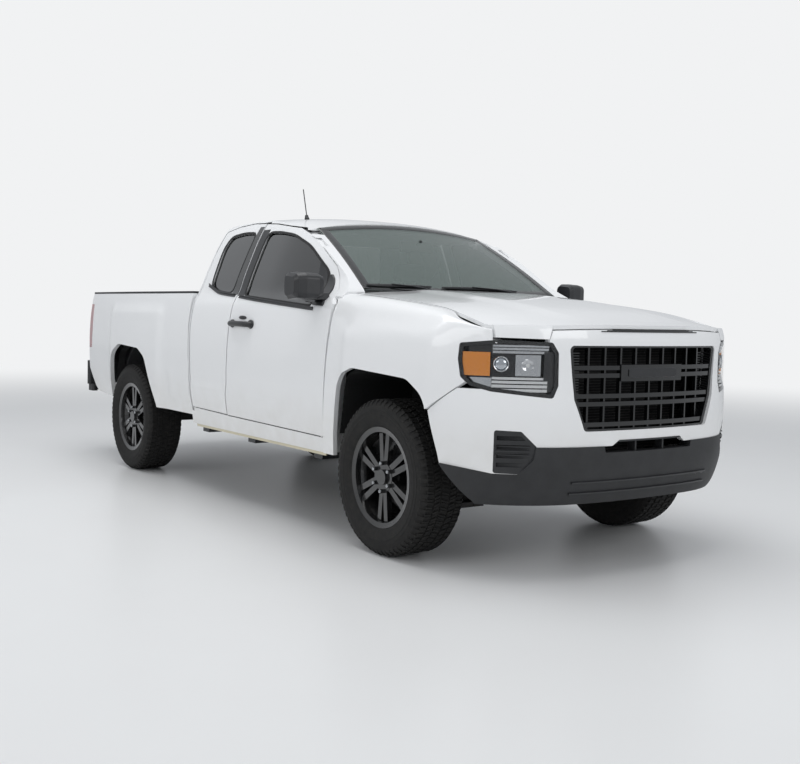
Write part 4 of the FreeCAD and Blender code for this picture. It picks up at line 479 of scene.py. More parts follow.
def faces_toward(node, direction, limits, least):
    """Bmesh of the faces of a frame node that face a direction, trimmed to limits.

    limits are (axis, low, high), and least is how squarely a face has to look that way, from 0 to 1."""
    bm = bmesh.new()
    bm.from_mesh(NODES[node].data)
    bmesh.ops.remove_doubles(bm, verts=bm.verts, dist=FRAME_WELD)
    direction = Vector(direction).normalized()
    bmesh.ops.delete(bm, geom=[f for f in bm.faces if f.normal.dot(direction) < least], context="FACES")
    for axis, low, high in limits:
        axis = Vector(axis).normalized()
        for at, out in ((high, axis), (low, -axis)):
            bmesh.ops.bisect_plane(bm, geom=bm.verts[:] + bm.edges[:] + bm.faces[:], plane_co=axis * at,
                                   plane_no=out, clear_outer=True)
    if not bm.faces:
        raise RuntimeError("no faces of " + node + " lie within the limits")
    return bm


def facing(node, direction, limits, lift, thickness, least=0.35):
    """Copy of a node's faces that face a direction, lifted off the node and given a thickness."""
    bm = faces_toward(node, direction, limits, least)
    bmesh.ops.remove_doubles(bm, verts=bm.verts, dist=FRAME_WELD)
    bm.normal_update()
    solid = bmesh.new()
    top = {v: solid.verts.new(v.co + v.normal * (lift + thickness)) for v in bm.verts}
    low = {v: solid.verts.new(v.co + v.normal * lift) for v in bm.verts}
    for f in bm.faces:
        solid.faces.new([top[v] for v in f.verts])
        solid.faces.new([low[v] for v in reversed(f.verts)])
    for e in bm.edges:
        if len(e.link_faces) == 1:
            loop = e.link_loops[0]
            a, b = loop.vert, loop.link_loop_next.vert
            solid.faces.new((top[b], top[a], low[a], low[b]))
    bm.free()
    return mesh_of(solid, node + "_skin")


def skin_of(names):
    """Search tree over the surfaces of some frame nodes."""
    verts, polys = [], []
    for name in names:
        base = len(verts)
        verts += [v.co.copy() for v in NODES[name].data.vertices]
        polys += [[base + i for i in p.vertices] for p in NODES[name].data.polygons]
    return BVHTree.FromPolygons(verts, polys)


def hit(node, start_at, direction):
    """Where a ray meets a frame node."""
    place, _, _, _ = skin_of((node,)).ray_cast(Vector(start_at), Vector(direction))
    if place is None:
        raise RuntimeError("the ray misses " + node)
    return place


def array_tree(name, round_axis):
    """Geometry Nodes that repeat a piece round an axle or along a line."""
    tree = bpy.data.node_groups.new(name, "GeometryNodeTree")
    face = tree.interface
    for title, kind in (("Geometry", "Geometry"), ("Count", "Int"), ("Step", "Vector"), ("Centre", "Vector"),
                        ("Material", "Material")):
        face.new_socket(title, in_out="INPUT", socket_type="NodeSocket" + kind)
    face.new_socket("Geometry", in_out="OUTPUT", socket_type="NodeSocketGeometry")
    given = tree.nodes.new("NodeGroupInput").outputs
    line = add(tree, "GeometryNodeMeshLine", {"mode": "OFFSET"}, Count=given["Count"])
    if round_axis:
        line.inputs["Offset"].default_value = (0, 0, 0)
        index = add(tree, "GeometryNodeInputIndex")
        turn = add(tree, "ShaderNodeVectorMath", {"operation": "SCALE"}, Vector=given["Step"],
                   Scale=index.outputs["Index"])
        points = add(tree, "GeometryNodeInstanceOnPoints", Points=line.outputs["Mesh"],
                     Instance=given["Geometry"], Rotation=turn.outputs["Vector"])
    else:
        tree.links.new(given["Step"], line.inputs["Offset"])
        points = add(tree, "GeometryNodeInstanceOnPoints", Points=line.outputs["Mesh"],
                     Instance=given["Geometry"])
    whole = add(tree, "GeometryNodeRealizeInstances", Geometry=points.outputs["Instances"])
    moved = add(tree, "GeometryNodeTransform", Geometry=whole.outputs["Geometry"],
                Translation=given["Centre"])
    dressed = add(tree, "GeometryNodeSetMaterial", Geometry=moved.outputs["Geometry"],
                  Material=given["Material"])
    out = tree.nodes.new("NodeGroupOutput")
    tree.links.new(dressed.outputs["Geometry"], out.inputs["Geometry"])
    return tree


def grown(mesh, tree, name, **inputs):
    """Run a node tree on a mesh and return the result as a plain mesh."""
    holder = bpy.data.objects.new(name + "_maker", mesh)
    bpy.context.scene.collection.objects.link(holder)
    modifier = holder.modifiers.new("make", "NODES")
    modifier.node_group = tree
    for item in tree.interface.items_tree:
        if item.in_out == "INPUT" and item.name in inputs:
            modifier[item.identifier] = inputs[item.name]
    bpy.context.view_layer.update()
    result = bpy.data.meshes.new_from_object(holder.evaluated_get(bpy.context.evaluated_depsgraph_get()))
    holder.modifiers.remove(modifier)
    bpy.data.objects.remove(holder)
    result.name = name
    return result


def round_array():
    """The node tree that repeats round an axle."""
    return bpy.data.node_groups.get("round_the_axle") or array_tree("round_the_axle", True)


def line_array():
    """The node tree that repeats along a line."""
    return bpy.data.node_groups.get("along_a_line") or array_tree("along_a_line", False)


def laid_on(names, starts, direction):
    """Points and normals where parallel rays from the given places meet some nodes."""
    tree = skin_of(names)
    direction = Vector(direction).normalized()
    found = []
    for p in starts:
        place, normal, _, _ = tree.ray_cast(Vector(p), direction)
        if place is not None:
            found.append((place, normal if normal.dot(direction) < 0 else -normal))
    if len(found) < 2:
        raise RuntimeError("nothing of " + names[0] + " lies under the strip")
    return found


def ribbon(bm, run, width, thickness, lift=0.0005, loop=False, shift=0.0):
    """Flat strip of a given width laid along points of a surface, shifted sideways by shift."""
    count = len(run)
    rows = []
    for i, (p, normal) in enumerate(run):
        after = run[(i + 1) % count][0] if loop or i < count - 1 else p
        before = run[i - 1][0] if loop or i > 0 else p
        ahead = (after - before).normalized()
        side = normal.cross(ahead).normalized()
        middle = p + side * shift
        half = side * (width / 2.0)
        low, high = normal * lift, normal * (lift + thickness)
        rows.append([middle - half + low, middle - half * 0.94 + high, middle + half * 0.94 + high,
                     middle + half + low])
    ring_rows(bm, rows, close_rows=loop)


def outline_of(node, direction, limits, least):
    """Boundary loop of the side of a node that faces a direction, with its normals, evenly spaced."""
    bm = faces_toward(node, direction, limits, least)
    rim = {}
    for e in bm.edges:
        if len(e.link_faces) == 1:
            loop = e.link_loops[0]
            rim[loop.vert] = (loop.link_loop_next.vert, e.link_faces[0].normal.copy())
    # The first corner left is taken each time, so that every run starts a loop at the same place.
    longest, left = [], dict(rim)
    while left:
        chain = [next(iter(left))]
        at = left.pop(chain[0])[0]
        while at in left:
            chain.append(at)
            at = left.pop(at)[0]
        if len(chain) > len(longest):
            longest = chain
    points = [v.co.copy() for v in longest]
    normals = [rim[v][1] for v in longest]
    bm.free()
    spaced, step = [], 0.012
    for i, p in enumerate(points):
        q = points[(i + 1) % len(points)]
        parts = max(1, int((q - p).length / step))
        for k in range(parts):
            spaced.append((p.lerp(q, k / parts), normals[i]))
    thinned = [spaced[0]]
    for item in spaced[1:]:
        if (item[0] - thinned[-1][0]).length > step * 0.6:
            thinned.append(item)
    return thinned


def rounded(points, radius, steps=5):
    """Closed outline in the XZ plane with its corners rounded."""
    result = []
    count = len(points)
    for i in range(count):
        before, here, after = Vector(points[i - 1]), Vector(points[i]), Vector(points[(i + 1) % count])
        back, on = (before - here), (after - here)
        reach = min(radius, back.length * 0.45, on.length * 0.45)
        a, b = here + back.normalized() * reach, here + on.normalized() * reach
        for k in range(steps + 1):
            t = k / steps
            result.append(a * (1 - t) ** 2 + here * 2 * t * (1 - t) + b * t * t)
    return result


def stepped(points, step):
    """Closed outline with points added so that none are further apart than a step."""
    result = []
    for i, p in enumerate(points):
        q = points[(i + 1) % len(points)]
        parts = max(1, int(math.ceil((q - p).length / step)))
        result += [p.lerp(q, k / parts) for k in range(parts)]
    return result


# Operators

def both(*names):
    """Left and right names of mirrored nodes."""
    return tuple(name + "_" + side for name in names for side, _ in SIDES)


NODE_FINISHES = {
    "clear_coated_enamel": both("bedside", "door_front", "door_rear", "fender") + (
        "cab_back", "fascia", "hood", "roof", "tailgate"),
    "sill_enamel_and_seam_wax": both("cab_side"),
    "gloss_black_abs": ("grille",),
    "moulded_black_polypropylene": ("front_bumper", "rear_bumper", "cowl_panel", "rail_caps"),
    "electro_coated_steel": ("bulkhead", "body_mounts"),
    "satin_black_abs": both("mirror") + ("antenna",),
    "privacy_tinted_glass": both("glass_rear", "glass_front"),
    "rear_tinted_glass": ("rear_window",),
    "laminated_windshield_glass": ("windshield",),
    "black_enamel_on_alloy": both("rim_front", "rim_rear"),
    "vulcanised_tread_rubber": both("tyre_front", "tyre_rear"),
    "chassis_wax_on_steel": ("frame_rails", "cross_members", "rear_axle", "front_suspension", "spare_wheel"),
    "sand_cast_iron": both("knuckle"),
    "pebbled_cast_aluminium": ("engine",),
    "aluminised_exhaust_steel": ("exhaust",),
    "moulded_polyethylene": ("fuel_tank",),
    "needled_arch_felt": ("wheel_liners",),
    "sprayed_bed_liner": ("bed_box",),
    "tufted_nylon_carpet": ("cab_floor",),
    "slush_moulded_dash_skin": ("dashboard",),
    "finished_wheel_leather": ("steering_wheel",),
    "red_acrylic": ("tail_lamps",),
    "woven_polyester_seat_cloth": ("front_seats", "rear_seats"),
}


class TRUCK_OT_finishes(bpy.types.Operator):
    """Give every carried-over node its finish"""
    bl_idname = "truck.finishes"
    bl_label = "Paint and finishes"

    def execute(self, context):
        for material, names in NODE_FINISHES.items():
            for name in names:
                slots = NODES[name].material_slots
                if not len(slots):
                    NODES[name].data.materials.append(finish(material))
                for slot in slots:
                    slot.material = finish(material)
        named = {name for names in NODE_FINISHES.values() for name in names}
        plain = set(NODES) - named - {"headlamps"}
        if plain:
            raise RuntimeError("no finish is given for " + ", ".join(sorted(plain)))
        return {"FINISHED"}


class TRUCK_OT_studio(bpy.types.Operator):
    """Set the pale floor, the soft lights and the camera"""
    bl_idname = "truck.studio"
    bl_label = "Studio"

    def execute(self, context):
        scene = context.scene
        scene.view_settings.view_transform = "Standard"
        bm = bmesh.new()
        bmesh.ops.create_grid(bm, x_segments=8, y_segments=8, size=30.0)
        mesh = bpy.data.meshes.new("studio_floor")
        bm.to_mesh(mesh)
        bm.free()
        floor = bpy.data.objects.new("studio_floor", mesh)
        scene.collection.objects.link(floor)
        mesh.materials.append(finish("sealed_studio_floor"))
        world = bpy.data.worlds.new("studio_world")
        scene.world = world
        world.use_nodes = True
        tree = world.node_tree
        tree.nodes.clear()
        path = add(tree, "ShaderNodeLightPath")
        lit = add(tree, "ShaderNodeBackground", Color=rgba("E2E5E9"), Strength=0.74)
        seen = add(tree, "ShaderNodeBackground", Color=rgba("F1F2F3"), Strength=1.0)
        sky = add(tree, "ShaderNodeMixShader", Fac=path.outputs["Is Camera Ray"], i1=lit.outputs[0],
                  i2=seen.outputs[0])
        add(tree, "ShaderNodeOutputWorld", Surface=sky.outputs[0])
        for name, place, size, watts in (
            ("overhead_softbox", (0.3, -1.0, 6.5), (7.5, 4.5), 230.0),
            ("side_softbox", (1.5, -8.5, 4.2), (8.0, 3.0), 120.0),
            ("nose_softbox", (8.5, 0.5, 3.6), (4.5, 2.6), 90.0),
        ):
            lamp = bpy.data.lights.new(name, "AREA")
            lamp.shape = "RECTANGLE"
            lamp.size, lamp.size_y = size
            lamp.energy = watts
            made = bpy.data.objects.new(name, lamp)
            made.location = place
            aim = Vector((0.2, 0.0, 0.8)) - Vector(place)
            made.rotation_euler = aim.to_track_quat("-Z", "Y").to_euler()
            scene.collection.objects.link(made)
        cam = bpy.data.cameras.new("camera")
        cam.sensor_width = SENSOR_MM
        cam.lens = FOCAL_PX / PHOTO_WIDTH * SENSOR_MM
        cam.shift_x = (PHOTO_WIDTH / 2.0 - LENS_AXIS_PX[0]) / PHOTO_WIDTH
        cam.shift_y = (LENS_AXIS_PX[1] - PHOTO_HEIGHT / 2.0) / PHOTO_WIDTH
        around, up_angle = math.radians(CAMERA_AROUND_DEG), math.radians(CAMERA_UP_DEG)
        roll = math.radians(CAMERA_ROLL_DEG)
        ahead = Vector((-math.sin(around) * math.cos(up_angle), math.cos(around) * math.cos(up_angle),
                        -math.sin(up_angle)))
        right = Vector((math.cos(around), math.sin(around), 0.0))
        above = right.cross(ahead)
        rolled_right = right * math.cos(roll) + above * math.sin(roll)
        rolled_above = above * math.cos(roll) - right * math.sin(roll)
        turned = Matrix((rolled_right, rolled_above, -ahead)).transposed().to_4x4()
        turned.translation = Vector(CAMERA_PLACE)
        viewer = bpy.data.objects.new("camera", cam)
        scene.collection.objects.link(viewer)
        viewer.matrix_world = turned
        scene.camera = viewer
        return {"FINISHED"}


class TRUCK_OT_side_trim(bpy.types.Operator):
    """Fit the window frames, belt mouldings, pillar and sail covers, door handles and roof mouldings"""
    bl_idname = "truck.side_trim"
    bl_label = "Side trim"

    windows = (
        ("front", ((0.222, 1.284), (1.082, 1.226), (1.023, 1.411), (0.771, 1.570), (0.579, 1.640),
                   (0.400, 1.664), (0.244, 1.670))),
        ("rear", ((0.050, 1.296), (0.086, 1.674), (-0.090, 1.680), (-0.250, 1.664), (-0.292, 1.590),
                  (-0.284, 1.346), (-0.150, 1.312))),
    )
    belts = (
        ("front", ((0.176, 1.2745), (0.40, 1.2555), (0.72, 1.2335), (1.10, 1.2085))),
        ("rear", ((-0.318, 1.349), (-0.235, 1.325), (-0.140, 1.3005), (-0.02, 1.2885), (0.112, 1.2795))),
    )

    # Pillar covers: door, slanted limit, heights, places along the truck, thickness and material.
    covers = (
        ("rear", ((0.9955, 0.0, -0.0948), -0.0692, 0.2), (1.288, 1.713), (0.03, 0.2), 0.0018,
         "gloss_black_abs"),
        ("front", ((0.9985, 0.0, -0.0548), 0.05, 0.1545), (1.282, 1.69), (0.10, 0.245), 0.0016,
         "satin_black_abs"),
    )
    roof_joint = ((0.330, 0.622, 1.7165), (0.426, 0.614, 1.7045), (0.507, 0.603, 1.690),
                  (0.600, 0.629, 1.663))
    flange_edge = ((2.235, 0.770, 1.166), (2.300, 0.771, 1.150), (2.370, 0.772, 1.130), (2.440, 0.773, 1.108),
                   (2.478, 0.770, 1.094))
    sail_corners = ((0.905, 1.470), (0.985, 1.435), (1.075, 1.245), (0.968, 1.252))
    # How far outside a window's opening the rays look for the door frame, and how far the frame is drawn in.
    look_outside = 0.010
    draw_in = 0.0085

    def execute(self, context):
        for side, sign in SIDES:
            inward = (0.0, -sign, 0.0)
            for which, outline in self.windows:
                door = "door_" + which + "_" + side
                run = self.round_window(door, outline, sign)
                bm = bmesh.new()
                ribbon(bm, run, 0.016, 0.0022, 0.0004, loop=True)
                piece("window_frame_" + which + "_" + side, closed(bm, "window_frame"),
                      "extruded_seal_rubber", door)
            for which, line in self.belts:
                door, glass = "door_" + which + "_" + side, "glass_" + which + "_" + side
                path = curve_through([(x, 0.0, z) for x, z in line], 7)
                run = laid_on((door, glass), [(p.x, sign * OUTSIDE_Y, p.z) for p in path], inward)
                bm = bmesh.new()
                ribbon(bm, run, 0.017, 0.0042, 0.0008)
                ribbon(bm, [(p + Vector((0, 0, 0.0095)), n) for p, n in run], 0.006, 0.0064, 0.0008)
                piece("belt_moulding_" + which + "_" + side, closed(bm, "belt_moulding"), "satin_black_abs",
                      door)
            for which, slanted, heights, places, thick, material in self.covers:
                door = "door_" + which + "_" + side
                cover = facing(door, (0.0, sign, 0.3), (slanted, ((0, 0, 1), *heights), ((1, 0, 0), *places)),
                               0.0006, thick)
                piece("pillar_cover_" + which + "_" + side, cover, material, door)
            self.sail(side, sign)
            self.handle(side, sign)
            self.roof_moulding(side, sign)
            self.fender_flange(side, sign)
        return {"FINISHED"}

    def round_window(self, door, outline, sign):
        """Points and normals round a window, found on the frame outside the opening and drawn in to it."""
        points = stepped(rounded(outline, 0.045), 0.02)
        count = len(points)
        middle = sum(points, Vector((0.0, 0.0))) / count
        tree = skin_of((door,))
        run = []
        for i, p in enumerate(points):
            along = points[(i + 1) % count] - points[i - 1]
            out = Vector((along.y, -along.x)).normalized()
            if out.dot(p - middle) < 0.0:
                out = -out
            seek = Vector((p.x + out.x * self.look_outside, sign * OUTSIDE_Y,
                           p.y + out.y * self.look_outside))
            place, normal, _, _ = tree.ray_cast(seek, Vector((0.0, -sign, 0.0)))
            if place is None or abs(place.y) < 0.55:
                continue
            if normal.y * sign < 0.0:
                normal = -normal
            drawn = Vector((out.x, 0.0, out.y))
            drawn = (drawn - normal * drawn.dot(normal)).normalized()
            run.append((place - drawn * self.draw_in, normal))
        for _ in range(2):
            after = run[1:] + run[:1]
            run = [((run[i - 1][0] + run[i][0] * 2.0 + after[i][0]) / 4.0,
                    (run[i - 1][1] + run[i][1] * 2.0 + after[i][1]).normalized()) for i in range(len(run))]
        return run

    def roof_moulding(self, side, sign):
        """Rubber moulding in the joint between the roof, the door tops and the windshield pillar."""
        path = curve_through([(x, sign * y, z) for x, y, z in self.roof_joint], 6)
        lean = Vector((0.20, sign * 0.42, 0.88)).normalized()
        bm = bmesh.new()
        ribbon(bm, [(p, lean) for p in path], 0.010, 0.0045, -0.001)
        piece("roof_moulding_" + side, closed(bm, "roof_moulding"), "extruded_seal_rubber", "truck_body")

    def fender_flange(self, side, sign):
        """Painted inner flange of the fender, which shows in the joint below the hood's front corner."""
        bm = bmesh.new()
        rows = []
        for x, y, z in self.flange_edge:
            rows.append([Vector((x, sign * (y + 0.014), z - 0.016)),
                         Vector((x, sign * (y + 0.014), z - 0.020)),
                         Vector((x, sign * (y - 0.050), z - 0.020)),
                         Vector((x, sign * (y - 0.050), z - 0.016))])
        ring_rows(bm, rows)
        piece("fender_flange_" + side, closed(bm, "fender_flange"), "clear_coated_enamel", "truck_body")

    def sail(self, side, sign):
        """Triangular cover between the mirror and the glass."""
        upper_back, upper_front, lower_front, lower_back = (Vector(c) for c in self.sail_corners)
        bm = bmesh.new()
        tree = skin_of(("door_front_" + side, "glass_front_" + side))
        grid = []
        for i in range(7):
            row = []
            for k in range(5):
                a = upper_back.lerp(lower_back, i / 6)
                b = upper_front.lerp(lower_front, i / 6)
                p = a.lerp(b, k / 4)
                place, _, _, _ = tree.ray_cast(Vector((p.x, sign * OUTSIDE_Y, p.y)), Vector((0, -sign, 0)))
                if place is None:
                    raise RuntimeError("the sail cover misses the door")
                row.append(place + Vector((0, sign, 0)) * 0.0045)
            grid.append(row)
        made = [[bm.verts.new(p) for p in row] for row in grid]
        back = [[bm.verts.new(p - Vector((0, sign, 0)) * 0.0038) for p in row] for row in grid]
        for i in range(6):
            for k in range(4):
                bm.faces.new((made[i][k], made[i][k + 1], made[i + 1][k + 1], made[i + 1][k]))
                bm.faces.new((back[i][k], back[i + 1][k], back[i + 1][k + 1], back[i][k + 1]))
        ring = ([(0, k) for k in range(5)] + [(i, 4) for i in range(1, 7)]
                + [(6, k) for k in range(3, -1, -1)] + [(i, 0) for i in range(5, 0, -1)])
        for (a, b), (c, d) in zip(ring, ring[1:] + ring[:1]):
            bm.faces.new((made[a][b], made[c][d], back[c][d], back[a][b]))
        piece("sail_cover_" + side, closed(bm, "sail_cover"), "satin_black_abs", "door_front_" + side)

    def boss(self, bm, centre, sign, wide, tall, levels, count):
        """Oval boss on a door, through (how far out, share of its size) levels."""
        ring_rows(bm, [[centre + Vector((wide * grow * math.cos(a), sign * out, tall * grow * math.sin(a)))
                        for a in turns(count)] for out, grow in levels])

    def handle(self, side, sign):
        """Pull handle with its two feet, the oval above it and the lock cylinder."""
        tree = skin_of(("door_front_" + side,))

        def skin(x, z):
            return tree.ray_cast(Vector((x, sign * OUTSIDE_Y, z)), Vector((0, -sign, 0)))[0]

        bm = bmesh.new()
        bar = []
        for x, z, out in ((0.168, 1.112, 0.004), (0.184, 1.112, 0.022), (0.220, 1.113, 0.034),
                          (0.300, 1.113, 0.037), (0.380, 1.112, 0.034), (0.414, 1.111, 0.022),
                          (0.430, 1.110, 0.004)):
            bar.append(skin(x, z) + Vector((0, sign * out, 0)))
        tube(bm, curve_through(bar, 5), 0.0155, 14, 1.1)
        for x, z, wide, tall in ((0.180, 1.112, 0.030, 0.025), (0.418, 1.112, 0.032, 0.027)):
            self.boss(bm, skin(x, z), sign, wide, tall,
                      ((0.0006, 1.0), (0.006, 1.0), (0.011, 0.86), (0.0125, 0.6)), 20)
        self.boss(bm, skin(0.303, 1.150), sign, 0.047, 0.0115, ((0.0006, 1.0), (0.005, 1.0), (0.009, 0.8)),
                  24)
        piece("door_handle_" + side, closed(bm, "door_handle"), "satin_black_abs", "door_front_" + side)
        bm = bmesh.new()
        self.boss(bm, skin(0.416, 1.112), sign, 0.008, 0.008, ((0.0128, 1.0), (0.0142, 1.0), (0.0146, 0.7)),
                  16)
        piece("lock_cylinder_" + side, closed(bm, "lock_cylinder"), "zinc_plated_steel", "door_front_" + side)


class TRUCK_OT_wheels(bpy.types.Operator):
    """Mould the tyres with their tread and fit the wheel nuts"""
    bl_idname = "truck.wheels"
    bl_label = "Tyres and wheel nuts"

    # Half of the tyre's section, outside and inside: radius and place across the tyre.
    half = ((0.2535, 0.100), (0.2520, 0.113), (0.2600, 0.119), (0.2680, 0.1215), (0.2850, 0.1270),
            (0.3050, 0.1306), (0.3060, 0.1318), (0.3110, 0.1318), (0.3120, 0.1308), (0.3280, 0.1316),
            (0.3285, 0.1324), (0.3310, 0.1324), (0.3315, 0.1312), (0.3480, 0.1290), (0.3640, 0.1225),
            (0.3740, 0.1120), (0.3790, 0.0980), (0.3798, 0.0600), (0.3800, 0.0))
    inside = ((0.3680, 0.0), (0.3670, 0.0850), (0.3560, 0.1080), (0.3300, 0.1200), (0.2900, 0.1170),
              (0.2620, 0.1040))

    # Tread blocks: near and far edge across the tyre, half length round it, skew, foot radius, and how much
    # lower than the tread their tops are.
    blocks = (
        (-0.0205, 0.0205, 0.0125, 0.30, 0.3775, 0.0),
        (0.029, 0.0610, 0.0135, -0.35, 0.3775, 0.0),
        (-0.0610, -0.029, 0.0135, -0.35, 0.3775, 0.0),
        (0.0690, 0.1050, 0.0130, 0.12, 0.3745, 0.0008),
        (-0.1050, -0.0690, 0.0130, 0.12, 0.3745, 0.0008),
    )
    # Radius between the blocks, from which the tread's depth is counted.
    tread_floor = 0.3784
    nut_circle = 0.06985
    nut_sides = 6

    def profile(self):
        """Closed section of the tyre without its tread."""
        outer = [(r, -y) for r, y in self.half] + [(r, y) for r, y in reversed(self.half[:-1])]
        inner = [(r, y) for r, y in reversed(self.inside)] + [(r, -y) for r, y in self.inside[1:]]
        return outer + inner

    def block(self, bm, y0, y1, along, skew, root, top, chamfer=0.0022):
        """One tread block at the top of the tyre, with sloped walls and a sipe down its middle."""
        for a0, a1 in ((-along, -0.0008), (0.0008, along)):
            rows = []
            for r, shrink in ((root, 0.0), (top - 0.001, 0.0008), (top, chamfer)):
                low = [(a0 + shrink, y0 + shrink), (a1 - shrink * 0.3, y0 + shrink),
                       (a1 - shrink * 0.3, y1 - shrink), (a0 + shrink, y1 - shrink)]
                rows.append([Vector(((a + skew * y) * r / TYRE_RADIUS, y, r)) for a, y in low])
            ring_rows(bm, rows)

    def execute(self, context):
        sizes = context.scene.truck_tyre
        top = self.tread_floor + sizes.depth
        pitch = bmesh.new()
        for y0, y1, along, skew, foot, lower in self.blocks:
            self.block(pitch, y0, y1, along, skew, foot, top - lower)
        for s in (-1.0, 1.0):
            rows = []
            for y, r0, r1 in ((0.1040, 0.3745, top - 0.0012), (0.1190, 0.3640, 0.3735),
                              (0.1268, 0.3550, 0.3600)):
                rows.append([Vector((-0.0105, s * y, r0 - 0.004)), Vector((0.0105, s * y, r0 - 0.004)),
                             Vector((0.0095, s * y, r1)), Vector((-0.0095, s * y, r1))])
            ring_rows(pitch, rows)
        base = closed(pitch, "tread_pitch")
        for name, x, y in WHEELS:
            body = "wheel_" + name
            tread = grown(base.copy(), round_array(), "tread", Count=sizes.pitches,
                          Step=(0.0, 2.0 * math.pi / sizes.pitches, 0.0), Centre=(x, y, HUB_Z),
                          Material=finish("vulcanised_tread_rubber"))
            bm = bmesh.new()
            lathe(bm, self.profile(), (x, y, HUB_Z), 96)
            bmesh.ops.recalc_face_normals(bm, faces=bm.faces)
            bm.from_mesh(tread)
            mesh = mesh_of(bm, "tyre_with_tread", TYRE_SHARP_DEG)
            made = piece("tyre_" + name, mesh, "vulcanised_tread_rubber", body)
            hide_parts("tyre_" + name)
            self.nuts(name, x, math.copysign(1.0, y), body)
        return {"FINISHED"}

    def nuts(self, name, x, sign, body):
        """Six plated nuts."""
        face = hit("rim_" + name, (x, sign * OUTSIDE_Y, HUB_Z + self.nut_circle), (0, -sign, 0))
        out = face.y - sign * HALF_TRACK
        bm = bmesh.new()
        ring_rows(bm, [[Vector((r * math.sin(a), out + sign * y, self.nut_circle + r * math.cos(a)))
                        for a in turns(self.nut_sides)] for r, y in (
            (0.0098, -0.012), (0.0105, 0.0005), (0.0105, 0.0045), (0.0088, 0.0075), (0.0045, 0.0092))])
        mesh = grown(closed(bm, "wheel_nut"), round_array(), "wheel_nuts", Count=6,
                     Step=(0.0, math.pi / 3.0, 0.0),
                     Centre=(x, sign * HALF_TRACK, HUB_Z), Material=finish("zinc_plated_steel"))
        piece("wheel_nuts_" + name, mesh, "zinc_plated_steel", body)


